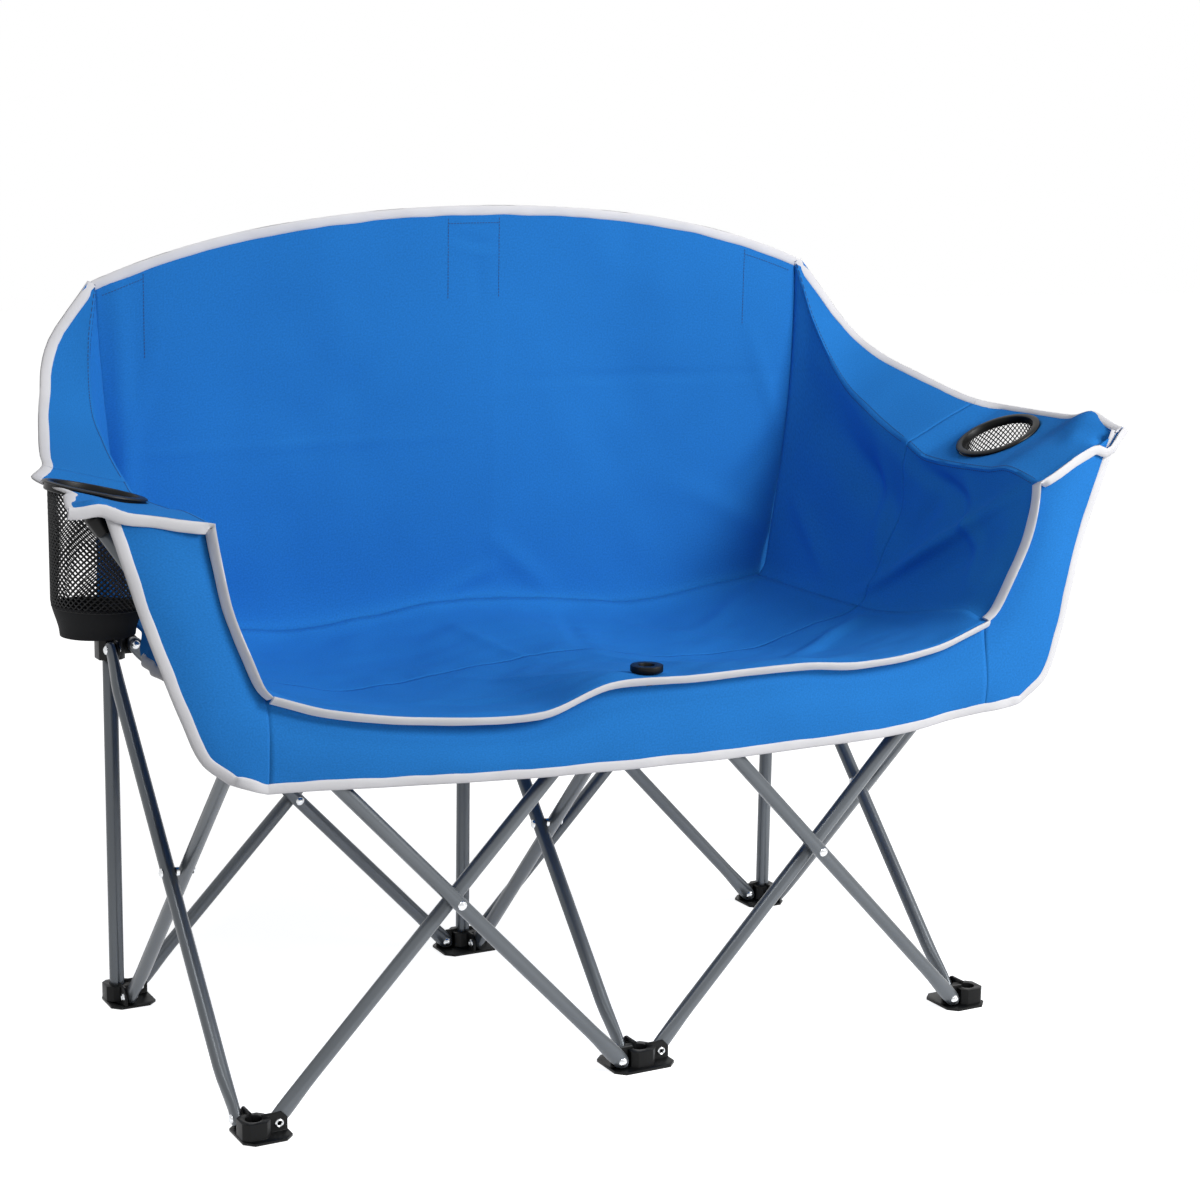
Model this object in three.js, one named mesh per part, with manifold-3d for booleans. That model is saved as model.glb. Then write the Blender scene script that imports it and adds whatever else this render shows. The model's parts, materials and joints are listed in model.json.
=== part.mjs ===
import * as THREE from "three";
import { mergeVertices } from "three/addons/utils/BufferGeometryUtils.js";
import Module from "manifold-3d";

const wasm = await Module();
wasm.setup();

// Millimetres, X to the right seen from the front, Y to the back, Z up from the floor.

// Clearances.
const gap = 0.3;
const fit = 0.4;
const slide_play = 0.8;

// Tubes and rivets.
const bar_r = 9;
const bar_wall = 1.4;
const bar_tip = 4;
const post_r = 9.5;
const post_wall = 1.3;
const pin_r = 3;
const head_r = 5;
const head_t = 1.5;
const collar_r = 5.5;
const cap_wall = 0.7;
const cap_skirt = 20;
const cap_dome = 4;

// Frame: columns at -pitch, 0 and +pitch, rows at the front and the rear.
const pitch_x = 500;
const row_y = 252;
const row_shift_y = 6;
const pivot_inset_x = 30;
const pivot_inset_y = 32;
const frame_rise = 461;

// Foot and hub mouldings.
const web_t = 3.4;
const web_beyond = 8.5;
const web_above = 13;
const web_below = 13;
const web_cut = 7;
const foot_plate_t = 3.4;
const foot_clear = 0.6;
const foot_side_lip = 1;
const foot_front_lip = 8;
const foot_rear_lip = 3;
const foot_in_lip = 1.5;
const foot_chamfer = 11;
const socket_above = 10;
const socket_half = 17;
const socket_chamfer = 7;
const socket_floor_t = 1.6;
const hub_below = 17;
const hub_above = 10;
const hub_cup_r = 9;
const hub_cup_depth = 18;
const plug_r = 20;
const plug_h = 8;
const plug_cup_r = 10;
const plug_cup_depth = 5;

// Arm upright, its fork and its cap.
const fork_above = 4;
const fork_floor = 1;
const fork_ear = 10;
const fork_ear_t = 3.6;
const fork_half = 8;
const fork_room = 4;
const arm_lean_left_deg = 35;
const arm_lean_right_deg = 33;
const arm_cap_wall = 1.7;
const arm_cap_skirt = 16;
const arm_cap_dome = 3;

// Cup holders, lying in the arm strip.
const ring_left_out = 122;
const ring_right_out = 126;
const ring_behind = 147;
const ring_bore_r = 49;
const ring_wall = 6.5;
const ring_flange = 3;
const ring_flange_t = 3;
const ring_below = 6;
const ring_hole_reach = 30;
const bag_overlap = 1;
const bag_wall = 1.6;
const bag_depth = 165;
const bag_taper = 32;
const bag_taper_in = 9;
const bag_over = 60;

// Cloth.
const cloth_t = 3;
const seat_lift = 8;
const seat_sag_x = 22;
const seat_sag_y = 24;
const seat_corner_rise = 12;
const seat_corner_in = 100;
const seat_corner_back = 102;
const seat_firm_in = 200;
const seat_split = 0.2;
const seat_side_gap = 1.9;
const crease_middle_in = 19;
const crease_front_in = 7.4;
const crease_rear_in = 32;
const back_over = 18;
const back_h = 454;
const back_rise = 83;
const back_skew = 12;
const back_tuck = 4;
const back_bow = 14;
const pocket_wall = 4;
const pocket_off = 0.5;
const pocket_close = 3;
const pocket_above_hub = 22;
const side_post_short = 24;
const centre_post_short = 37;
const apron_clear = 1;
const apron_in = 12;
const apron_split = 0.6;
const apron_top_gap = 2.8;
const apron_drop = 110;
const wall_bulge = 12;
const side_out = 200;
const side_rise = 440;
const wing_clear = 1.8;
const arm_clear = 0.5;

// Places that follow from these sizes.
const bar_bore_r = bar_r - bar_wall;
const bar_tip_r = Math.sqrt(bar_r ** 2 - bar_tip ** 2);
const layer_offset = bar_r + web_t / 2 + gap;
const post_bore_r = post_r - post_wall;
const pin_hole_r = pin_r + gap;
const cap_bore_r = post_r + fit;
const cap_r = cap_bore_r + cap_wall;
const foot_pivot_z = foot_plate_t + foot_clear + bar_r;
const hub_pivot_z = foot_pivot_z + frame_rise;
const socket_bore_r = post_r + fit;
const socket_floor = foot_plate_t + socket_floor_t;
const web_in = Math.max(pivot_inset_x, pivot_inset_y) + web_beyond;
const foot_in = web_in + foot_in_lip;
const hub_top_z = hub_pivot_z + hub_above;
const hub_bore_r = post_r + slide_play;
const fork_z = hub_pivot_z + fork_above;
const fork_block_top_z = fork_z - bar_r - fork_floor;
const fork_top_z = fork_z + fork_ear;
const fork_in = bar_r + fit;
const fork_out = fork_in + fork_ear_t;
const arm_cap_bore_r = bar_r + gap;
const arm_cap_r = arm_cap_bore_r + arm_cap_wall;
const ring_y = ring_behind - row_y;
const ring_body_r = ring_bore_r + ring_wall;
const ring_r = ring_body_r + ring_flange;
const ring_above = cloth_t / 2 + gap + ring_flange_t;
const ring_hole_r = ring_body_r + slide_play;
const bag_r = ring_bore_r + bag_overlap;
const bag_foot_r = bag_r - bag_taper_in;
const seat_z = hub_top_z + seat_lift;
const plug_z = seat_z + cloth_t / 2 + gap;
const crease_middle_x = pitch_x - crease_middle_in;
const back_half_x = pitch_x + back_over;
const back_corner_z = seat_z + back_h;
const side_post_top_z = back_corner_z - side_post_short;
const centre_post_top_z = back_corner_z + back_rise - centre_post_short;
const pocket_bore_r = cap_r + fit;
const pocket_r = pocket_bore_r + pocket_wall;
const pocket_bottom_z = hub_top_z + pocket_above_hub;
const back_y = row_y - pocket_r - pocket_off;
const seat_rear_y = back_y - cloth_t / 2 - gap;
const wing_rear_y = back_y - cloth_t / 2 - wing_clear;
const apron_y = -row_y - layer_offset - bar_r - head_t - cloth_t / 2 - apron_clear;
const arm_front_y = apron_y + cloth_t / 2 + arm_clear;
const seat_front_y = apron_y - cloth_t;
const apron_half_x = pitch_x - apron_in;

// Side cloth from the middle split outward: share of the way to the backrest or the front,
// then outer edge x and z and inner seam x and z, as shares of side_out and side_rise.
const wing_left_shares = [
  [1, 0.15, 0.995, 0.07, 0.991],
  [0.892, 0.4, 0.852, 0.15, 0.85],
  [0.66, 0.54, 0.707, 0.225, 0.675],
  [0.373, 0.645, 0.616, 0.25, 0.586],
  [0.171, 0.705, 0.582, 0.26, 0.541],
  [0, 0.75, 0.564, 0.265, 0.509],
];
const arm_left_shares = [
  [0, 0.75, 0.564, 0.265, 0.509],
  [0.138, 0.865, 0.548, 0.275, 0.489],
  [0.299, 0.865, 0.548, 0.275, 0.489],
  [0.459, 0.865, 0.548, 0.275, 0.489],
  [0.627, 0.865, 0.548, 0.275, 0.489],
  [0.785, 0.94, 0.552, 0.27, 0.498],
  [1, 1.015, 0.548, 0.235, 0.486],
];
const wing_right_shares = [
  [1, 0.15, 1.027, 0.07, 1.023],
  [0.892, 0.43, 0.857, 0.15, 0.864],
  [0.66, 0.56, 0.761, 0.225, 0.684],
  [0.373, 0.68, 0.702, 0.25, 0.593],
  [0.171, 0.765, 0.664, 0.26, 0.543],
  [0, 0.85, 0.636, 0.265, 0.509],
];
const arm_right_shares = [
  [0, 0.85, 0.636, 0.265, 0.509],
  [0.138, 0.975, 0.623, 0.275, 0.473],
  [0.299, 0.975, 0.623, 0.275, 0.473],
  [0.459, 0.975, 0.623, 0.275, 0.473],
  [0.627, 0.975, 0.623, 0.275, 0.473],
  [0.785, 0.96, 0.632, 0.28, 0.486],
  [1, 0.94, 0.609, 0.28, 0.461],
];
// Front apron's hem: share of its half width, then share of its full drop.
const hem_shares = [
  [0, 1],
  [0.246, 0.991],
  [0.6, 0.973],
  [0.82, 0.909],
  [1, 0.791],
];
// Outer apron rows, bottom to top: inner x and z, outer x and z, as shares of side_out and side_rise.
const apron_left_shares = [
  [0, -0.198, 0.135, -0.157],
  [0, -0.118, 0.37, -0.102],
  [0.022, 0.011, 0.45, 0.011],
  [0.107, 0.145, 0.545, 0.136],
  [0.197, 0.302, 0.67, 0.291],
  [0.292, 0.475, 0.81, 0.525],
];
const apron_right_shares = [
  [0, -0.198, 0.135, -0.157],
  [0, -0.118, 0.37, -0.102],
  [0.022, 0.011, 0.45, 0.011],
  [0.117, 0.145, 0.545, 0.136],
  [0.227, 0.302, 0.7, 0.307],
  [0.337, 0.45, 0.92, 0.595],
];

// Shares of a sheet's width at which its columns stand, and how far the wall bulges there.
const strip_shares = [0, 0.25, 0.5, 0.75, 1];
const wall_shares = [0.2, 0.45, 0.7, 1];
const bulge_shares = [0.6, 1, 0.8, 0];
const apron_side_shares = [0, 0.3, 0.65, 1];
const height_shares = [0, 0.2, 0.42, 0.64, 0.84, 1];
const back_flat_share = 0.75;
const seat_firm_share = 0.65;
const head_sink_share = 0.86;
const drop_shares = [0, 0.35, 0.7, 1];

// Round counts.
const fine_segments = 28;
const socket_segments = 16;
const tube_segments = 12;
const pin_segments = 8;
const seat_columns = 20;
const seat_rows = 5;
const back_columns = 26;

// Points closer than this are one point.
const weld = 1e-4;

const steel = () => new THREE.MeshStandardMaterial({ color: 0x6a6f73, roughness: 0.45, metalness: 0.7 });
const plastic = () => new THREE.MeshStandardMaterial({ color: 0x16171a, roughness: 0.55, metalness: 0 });
const zinc = () => new THREE.MeshStandardMaterial({ color: 0xc9ccce, roughness: 0.3, metalness: 0.9 });
const cloth = () => new THREE.MeshStandardMaterial({ color: 0x2272cb, roughness: 0.85, metalness: 0 });
const netting = () => new THREE.MeshStandardMaterial({ color: 0x101114, roughness: 0.8, metalness: 0 });

const group = new THREE.Group();

// A closed solid from a geometry, turned to face outward.
function solid(geometry) {
  const plain = geometry.index ? geometry.toNonIndexed() : geometry.clone();
  plain.deleteAttribute("normal");
  plain.deleteAttribute("uv");
  const merged = mergeVertices(plain, weld);
  const build = (faces) =>
    new wasm.Manifold(
      new wasm.Mesh({
        numProp: 3,
        vertProperties: merged.attributes.position.array,
        triVerts: faces,
      }),
    );
  const faces = new Uint32Array(merged.index.array);
  const made = build(faces);
  if (made.volume() > 0) return made;
  return build(new Uint32Array(faces).reverse());
}

function place(name, shape, material) {
  const mesh = shape.getMesh();
  const geometry = new THREE.BufferGeometry();
  const count = mesh.numVert;
  const spots = new Float32Array(count * 3);
  for (let i = 0; i < count; i++) {
    spots.set(mesh.vertProperties.subarray(i * mesh.numProp, i * mesh.numProp + 3), i * 3);
  }
  geometry.setAttribute("position", new THREE.BufferAttribute(spots, 3));
  geometry.setIndex(new THREE.BufferAttribute(new Uint32Array(mesh.triVerts), 1));
  geometry.translate(0, row_shift_y, 0);
  geometry.computeVertexNormals();
  const body = new THREE.Mesh(geometry, material);
  body.name = name;
  group.add(body);
}

// A profile of [radius, height] turned about Z.
function turned(profile, segments) {
  const points = profile.map(([r, h]) => new THREE.Vector2(r, h));
  return new THREE.LatheGeometry(points, segments).rotateX(Math.PI / 2);
}

function rod(radius, low, high, segments) {
  return turned([[0, low], [radius, low], [radius, high], [0, high]], segments);
}

function block(x0, x1, y0, y1, z0, z1) {
  const geometry = new THREE.BoxGeometry(Math.abs(x1 - x0), Math.abs(y1 - y0), Math.abs(z1 - z0));
  return geometry.translate((x0 + x1) / 2, (y0 + y1) / 2, (z0 + z1) / 2);
}

// A rod that lies along X or Y with its middle at the given point.
function cross_rod(axis, radius, low, high, x, y, z, segments) {
  const geometry = rod(radius, low, high, segments);
  if (axis === "y") geometry.rotateX(-Math.PI / 2);
  else geometry.rotateY(Math.PI / 2);
  return geometry.translate(x, y, z);
}

// A sheet of even thickness about a grid of middle points.
function sheet(grid, thickness) {
  const rows = grid.length;
  const columns = grid[0].length;
  const at = (i, j) => grid[Math.min(Math.max(i, 0), rows - 1)][Math.min(Math.max(j, 0), columns - 1)];
  const spots = [];
  for (const side of [1, -1]) {
    for (let i = 0; i < rows; i++) {
      for (let j = 0; j < columns; j++) {
        const along = new THREE.Vector3().subVectors(at(i + 1, j), at(i - 1, j));
        const across = new THREE.Vector3().subVectors(at(i, j + 1), at(i, j - 1));
        const normal = along.cross(across).normalize();
        const spot = at(i, j).clone().addScaledVector(normal, (side * thickness) / 2);
        spots.push(spot.x, spot.y, spot.z);
      }
    }
  }
  const half = rows * columns;
  const faces = [];
  const quad = (a, b, c, d) => faces.push(a, b, c, a, c, d);
  for (let i = 0; i + 1 < rows; i++) {
    for (let j = 0; j + 1 < columns; j++) {
      const a = i * columns + j;
      const b = a + columns;
      quad(a, b, b + 1, a + 1);
      quad(half + a, half + a + 1, half + b + 1, half + b);
    }
  }
  const rim = [];
  for (let j = 0; j < columns; j++) rim.push(j);
  for (let i = 1; i < rows; i++) rim.push(i * columns + columns - 1);
  for (let j = columns - 2; j >= 0; j--) rim.push((rows - 1) * columns + j);
  for (let i = rows - 2; i > 0; i--) rim.push(i * columns);
  rim.forEach((a, k) => {
    const b = rim[(k + 1) % rim.length];
    quad(a, b, half + b, half + a);
  });
  const geometry = new THREE.BufferGeometry();
  geometry.setAttribute("position", new THREE.Float32BufferAttribute(spots, 3));
  geometry.setIndex(faces);
  return solid(geometry);
}

function mirrored(grid) {
  return grid.map((row) => row.map((p) => new THREE.Vector3(-p.x, p.y, p.z)));
}

// A block whose upright edges are cut off.
function chamfered(x0, x1, y0, y1, cut, low, high) {
  const shape = new THREE.Shape([
    new THREE.Vector2(x0 + cut, y0),
    new THREE.Vector2(x1 - cut, y0),
    new THREE.Vector2(x1, y0 + cut),
    new THREE.Vector2(x1, y1 - cut),
    new THREE.Vector2(x1 - cut, y1),
    new THREE.Vector2(x0 + cut, y1),
    new THREE.Vector2(x0, y1 - cut),
    new THREE.Vector2(x0, y0 + cut),
  ]);
  const geometry = new THREE.ExtrudeGeometry(shape, { depth: high - low, bevelEnabled: false });
  return solid(geometry.translate(0, 0, low));
}

// The block around a post, with the post's axis at the given point.
function socket(x, y, low, high) {
  return chamfered(
    x - socket_half,
    x + socket_half,
    y - socket_half,
    y + socket_half,
    socket_chamfer,
    low,
    high,
  );
}

// An upright plate from a post's axis outward, its outer corners cut off.
function web(x, y, turn, low, high, low_cut) {
  const shape = new THREE.Shape([
    new THREE.Vector2(0, low),
    new THREE.Vector2(web_in - low_cut, low),
    new THREE.Vector2(web_in, low + low_cut),
    new THREE.Vector2(web_in, high - web_cut),
    new THREE.Vector2(web_in - web_cut, high),
    new THREE.Vector2(0, high),
  ]);
  const geometry = new THREE.ExtrudeGeometry(shape, { depth: web_t, bevelEnabled: false });
  geometry.translate(0, 0, -web_t / 2).rotateX(Math.PI / 2);
  return solid(geometry.rotateZ(turn).translate(x, y, 0));
}

// The plates that carry the bar rivets, and their rivet holes, for a foot or a hub.
function webs(x, y, sides_x, side_y, low, high, low_cut, pivot_z) {
  const holes = [];
  const plates = sides_x.map((s) => {
    const hole_x = x + s * pivot_inset_x;
    const hole = cross_rod("y", pin_hole_r, -socket_half, socket_half, hole_x, y, pivot_z, pin_segments);
    holes.push(solid(hole));
    return web(x, y, s > 0 ? 0 : Math.PI, low, high, low_cut);
  });
  plates.push(web(x, y, (side_y * Math.PI) / 2, low, high, low_cut));
  const hole_y = y + side_y * pivot_inset_y;
  holes.push(solid(cross_rod("x", pin_hole_r, -socket_half, socket_half, x, hole_y, pivot_z, pin_segments)));
  return { plates, holes };
}

// A foot; side_y points to the other row.
function foot(name, x, y, sides_x, side_y) {
  const side = socket_half + foot_side_lip;
  const x0 = x - (sides_x.includes(-1) ? foot_in : side);
  const x1 = x + (sides_x.includes(1) ? foot_in : side);
  const y0 = y - (side_y > 0 ? socket_half + foot_front_lip : foot_in);
  const y1 = y + (side_y > 0 ? foot_in : socket_half + foot_rear_lip);
  const web_top = foot_pivot_z + web_above;
  const { plates, holes } = webs(x, y, sides_x, side_y, 0, web_top, foot_plate_t, foot_pivot_z);
  let shape = chamfered(x0, x1, y0, y1, foot_chamfer, 0, foot_plate_t);
  shape = shape.add(socket(x, y, 0, foot_pivot_z + socket_above));
  for (const plate of plates) shape = shape.add(plate);
  const bore = rod(socket_bore_r, socket_floor, web_top + web_t, socket_segments);
  shape = shape.subtract(solid(bore.translate(x, y, 0)));
  for (const hole of holes) shape = shape.subtract(hole);
  place(name, shape, plastic());
}

foot("foot_fl", -pitch_x, -row_y, [1], 1);
foot("foot_fc", 0, -row_y, [-1, 1], 1);
foot("foot_fr", pitch_x, -row_y, [-1], 1);
foot("foot_rl", -pitch_x, row_y, [1], -1);
foot("foot_rc", 0, row_y, [-1, 1], -1);
foot("foot_rr", pitch_x, row_y, [-1], -1);

// The two ears that hold an arm upright's foot, and the room they leave for it.
function fork(x, y) {
  const ears = [-1, 1].map((s) => {
    const y0 = Math.min(y + s * fork_in, y + s * fork_out);
    const y1 = Math.max(y + s * fork_in, y + s * fork_out);
    return solid(block(x - fork_half, x + fork_half, y0, y1, fork_block_top_z - web_t, fork_top_z));
  });
  const room_x = bar_r + fork_room;
  const room = solid(
    block(x - room_x, x + room_x, y - fork_in, y + fork_in, fork_block_top_z, fork_top_z),
  );
  return { ears, room };
}

function hub(name, x, y, sides_x, side_y, kind) {
  const top = kind === "fork" ? fork_block_top_z : hub_top_z;
  const { plates, holes } = webs(
    x,
    y,
    sides_x,
    side_y,
    hub_pivot_z - web_below,
    hub_top_z,
    web_cut,
    hub_pivot_z,
  );
  const hub_bottom_z = hub_pivot_z - hub_below;
  let shape = socket(x, y, hub_bottom_z, top);
  for (const plate of plates) shape = shape.add(plate);
  if (kind === "fork") {
    const { ears, room } = fork(x, y);
    for (const ear of ears) shape = shape.add(ear);
    shape = shape.subtract(room);
    holes.push(solid(cross_rod("y", pin_hole_r, -socket_half, socket_half, x, y, fork_z, pin_segments)));
    const head_y = y + side_y * fork_out;
    const head_end = head_y + side_y * web_t;
    holes.push(solid(block(x - fork_half, x + fork_half, head_y, head_end, fork_block_top_z, fork_top_z)));
  } else if (kind === "sliding") {
    const bore = rod(hub_bore_r, hub_bottom_z - web_t, hub_top_z + web_t, socket_segments);
    shape = shape.subtract(solid(bore.translate(x, y, 0)));
  } else {
    const cup = rod(hub_cup_r, hub_top_z - hub_cup_depth, hub_top_z + web_t, socket_segments);
    shape = shape.subtract(solid(cup.translate(x, y, 0)));
  }
  for (const hole of holes) shape = shape.subtract(hole);
  place(name, shape, plastic());
}

hub("hub_fl", -pitch_x, -row_y, [1], 1, "fork");
hub("hub_fc", 0, -row_y, [-1, 1], 1, "plain");
hub("hub_fr", pitch_x, -row_y, [-1], 1, "fork");
hub("hub_rl", -pitch_x, row_y, [1], -1, "sliding");
hub("hub_rc", 0, row_y, [-1, 1], -1, "sliding");
hub("hub_rr", pitch_x, row_y, [-1], -1, "sliding");

// A rear post and the cap on its top.
function post(side, x, top) {
  const foot_z = socket_floor + gap;
  const tube = turned(
    [[post_bore_r, foot_z], [post_r, foot_z], [post_r, top], [post_bore_r, top], [post_bore_r, foot_z]],
    socket_segments,
  );
  place("post_" + side, solid(tube.translate(x, row_y, 0)), steel());
  const roof = top + gap;
  const cap = turned(
    [
      [0, roof],
      [cap_bore_r, roof],
      [cap_bore_r, top - cap_skirt],
      [cap_r, top - cap_skirt],
      [cap_r, roof + cap_dome / 2],
      [cap_bore_r, roof + cap_dome],
      [0, roof + cap_dome],
    ],
    socket_segments,
  );
  place("post_cap_" + side, solid(cap.translate(x, row_y, 0)), plastic());
}

post("l", -pitch_x, side_post_top_z);
post("c", 0, centre_post_top_z);
post("r", pitch_x, side_post_top_z);

// An open tube from one pivot to the other, whose ends stay within a bar's radius of the pivots.
function tube(length) {
  return turned(
    [
      [bar_bore_r, -bar_tip],
      [bar_tip_r, -bar_tip],
      [bar_r, 0],
      [bar_r, length],
      [bar_tip_r, length + bar_tip],
      [bar_bore_r, length + bar_tip],
      [bar_bore_r, -bar_tip],
    ],
    tube_segments,
  );
}

function between(geometry, from, to) {
  const way = new THREE.Vector3().subVectors(to, from).normalize();
  const turn = new THREE.Quaternion().setFromUnitVectors(new THREE.Vector3(0, 0, 1), way);
  return geometry.applyQuaternion(turn).translate(from.x, from.y, from.z);
}

// A rivet fused into the bar's end: its outer head, its shank through the web and its inner head.
function end_rivet(axis, side, spot) {
  const outer = bar_r + head_t;
  const web_face = layer_offset + web_t / 2 + gap;
  const head_sink = bar_wall * head_sink_share;
  const profile = [
    [0, -outer],
    [head_r, -outer],
    [head_r, -bar_r + head_sink],
    [pin_r, -bar_r + head_sink],
    [pin_r, web_face],
    [head_r, web_face],
    [head_r, web_face + head_t],
    [0, web_face + head_t],
  ];
  const geometry = turned(profile, pin_segments);
  if (axis === "y") geometry.rotateX(-Math.PI / 2 * side);
  else geometry.rotateY(Math.PI / 2 * side);
  return solid(geometry.translate(spot.x, spot.y, spot.z));
}

// The bar's layer lies on one side of the webs; its rivets point back through them.
function bar(name, axis, from, to, layer) {
  const length = from.distanceTo(to);
  const middle = new THREE.Vector3().addVectors(from, to).multiplyScalar(1 / 2);
  let shape = solid(between(tube(length), from, to));
  shape = shape.add(end_rivet(axis, -layer, from)).add(end_rivet(axis, -layer, to));
  const reach = bar_r + layer_offset;
  const hole = cross_rod(axis, pin_hole_r, -reach, reach, middle.x, middle.y, middle.z, pin_segments);
  place(name, shape.subtract(solid(hole)), steel());
}

// The rivet at the crossing, with the collar that keeps the two tubes apart.
function crossing(name, axis, x, y) {
  const z = (foot_pivot_z + hub_pivot_z) / 2;
  const collar = layer_offset - bar_r - gap;
  const outer = layer_offset + bar_r + gap;
  const profile = [
    [0, -outer - head_t],
    [head_r, -outer - head_t],
    [head_r, -outer],
    [pin_r, -outer],
    [pin_r, -collar],
    [collar_r, -collar],
    [collar_r, collar],
    [pin_r, collar],
    [pin_r, outer],
    [head_r, outer],
    [head_r, outer + head_t],
    [0, outer + head_t],
  ];
  const geometry = turned(profile, pin_segments);
  if (axis === "y") geometry.rotateX(-Math.PI / 2);
  else geometry.rotateY(Math.PI / 2);
  place(name, solid(geometry.translate(x, y, z)), zinc());
}

// A pair across a bay: one bar leans up to the left in the front layer, the other up to the right behind it.
function bay_pair(row, left, x0, x1, y) {
  const low = x0 + pivot_inset_x;
  const high = x1 - pivot_inset_x;
  const a = y - layer_offset;
  const b = y + layer_offset;
  const up_left = [new THREE.Vector3(high, a, foot_pivot_z), new THREE.Vector3(low, a, hub_pivot_z)];
  const up_right = [new THREE.Vector3(low, b, foot_pivot_z), new THREE.Vector3(high, b, hub_pivot_z)];
  bar("bar_" + row + "_" + left[0], "y", up_left[0], up_left[1], -1);
  bar("bar_" + row + "_" + left[1], "y", up_right[0], up_right[1], 1);
  crossing("rivet_" + row + "_" + left[2], "y", (x0 + x1) / 2, y);
}

bay_pair("front", ["a", "b", "l"], -pitch_x, 0, -row_y);
bay_pair("front", ["c", "d", "r"], 0, pitch_x, -row_y);
bay_pair("rear", ["a", "b", "l"], -pitch_x, 0, row_y);
bay_pair("rear", ["c", "d", "r"], 0, pitch_x, row_y);

// A pair from front to back at one column.
function depth_pair(column, x) {
  const front = -row_y + pivot_inset_y;
  const rear = row_y - pivot_inset_y;
  const a = x + layer_offset;
  const b = x - layer_offset;
  bar(
    "bar_" + column + "_a",
    "x",
    new THREE.Vector3(a, rear, foot_pivot_z),
    new THREE.Vector3(a, front, hub_pivot_z),
    1,
  );
  bar(
    "bar_" + column + "_b",
    "x",
    new THREE.Vector3(b, front, foot_pivot_z),
    new THREE.Vector3(b, rear, hub_pivot_z),
    -1,
  );
  crossing("rivet_" + column, "x", x, 0);
}

depth_pair("left", -pitch_x);
depth_pair("mid", 0);
depth_pair("right", pitch_x);

// The strip's outer edge and inner seam at one of its stations.
function strip_edges([, outer_x, outer_z, seam_x, seam_z]) {
  const x_at = (share) => pitch_x + side_out * share;
  const z_at = (share) => seat_z + side_rise * share;
  return [x_at(outer_x), z_at(outer_z), x_at(seam_x), z_at(seam_z)];
}

// How long an upright is whose cap just touches the arm strip from below at the front.
function upright_length(lean, shares) {
  const front = shares[shares.length - 1];
  const before = shares[shares.length - 2];
  const reach = (-row_y - arm_cap_r + seat_split) / (arm_front_y + seat_split);
  const t = (reach - before[0]) / (front[0] - before[0]);
  const [outer_x, outer_z, seam_x, seam_z] = strip_edges(before.map((low, k) => low + (front[k] - low) * t));
  const tilt = Math.atan2(outer_z - seam_z, outer_x - seam_x);
  const corner_x = pitch_x - bar_bore_r * Math.cos(lean) - seam_x;
  const corner_z = fork_z + bar_bore_r * Math.sin(lean) - seam_z;
  const below = corner_x * Math.sin(tilt) - corner_z * Math.cos(tilt) - cloth_t / 2 - gap;
  return below / Math.cos(lean + tilt) - bar_tip - gap - arm_cap_dome;
}

// An arm upright from its fork, leaning outward to its cap under the arm cloth.
function arm_upright(side, s, lean_deg, shares) {
  const lean = (lean_deg * Math.PI) / 180;
  const length = upright_length(lean, shares);
  const from = new THREE.Vector3(s * pitch_x, -row_y, fork_z);
  const way = new THREE.Vector3(s * Math.sin(lean), 0, Math.cos(lean));
  const to = from.clone().addScaledVector(way, length);
  let shape = solid(between(tube(length), from, to));
  const outer = fork_out + gap;
  const pin = turned(
    [
      [0, -outer - head_t],
      [head_r, -outer - head_t],
      [head_r, -outer],
      [pin_r, -outer],
      [pin_r, outer],
      [head_r, outer],
      [head_r, outer + head_t],
      [0, outer + head_t],
    ],
    pin_segments,
  );
  shape = shape.add(solid(pin.rotateX(-Math.PI / 2).translate(from.x, from.y, from.z)));
  place("arm_upright_" + side, shape, steel());
  const roof = bar_tip + gap;
  const cap = turned(
    [
      [0, roof],
      [arm_cap_bore_r, roof],
      [arm_cap_bore_r, -arm_cap_skirt],
      [arm_cap_r, -arm_cap_skirt],
      [arm_cap_r, roof],
      [bar_bore_r, roof + arm_cap_dome],
      [0, roof + arm_cap_dome],
    ],
    tube_segments,
  );
  place("arm_cap_" + side, solid(between(cap, to, to.clone().add(way))), plastic());
}

arm_upright("l", -1, arm_lean_left_deg, arm_left_shares);
arm_upright("r", 1, arm_lean_right_deg, arm_right_shares);

// Where a cup holder lies: its side, its middle and its tilt in the arm strip.
function cup_place(s, out, shares) {
  const along = (ring_y + seat_split) / (arm_front_y + seat_split);
  const station = shares.find(([place]) => place >= along);
  const [outer_x, outer_z, seam_x, seam_z] = strip_edges(station);
  const tilt = Math.atan2(outer_z - seam_z, outer_x - seam_x);
  return { s, x: pitch_x + out, z: seam_z + (pitch_x + out - seam_x) * Math.tan(tilt), tilt };
}

const left_cup = cup_place(-1, ring_left_out, arm_left_shares);
const right_cup = cup_place(1, ring_right_out, arm_right_shares);

function in_strip(geometry, cup) {
  return geometry.rotateY(-cup.s * cup.tilt).translate(cup.s * cup.x, ring_y, cup.z);
}

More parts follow.
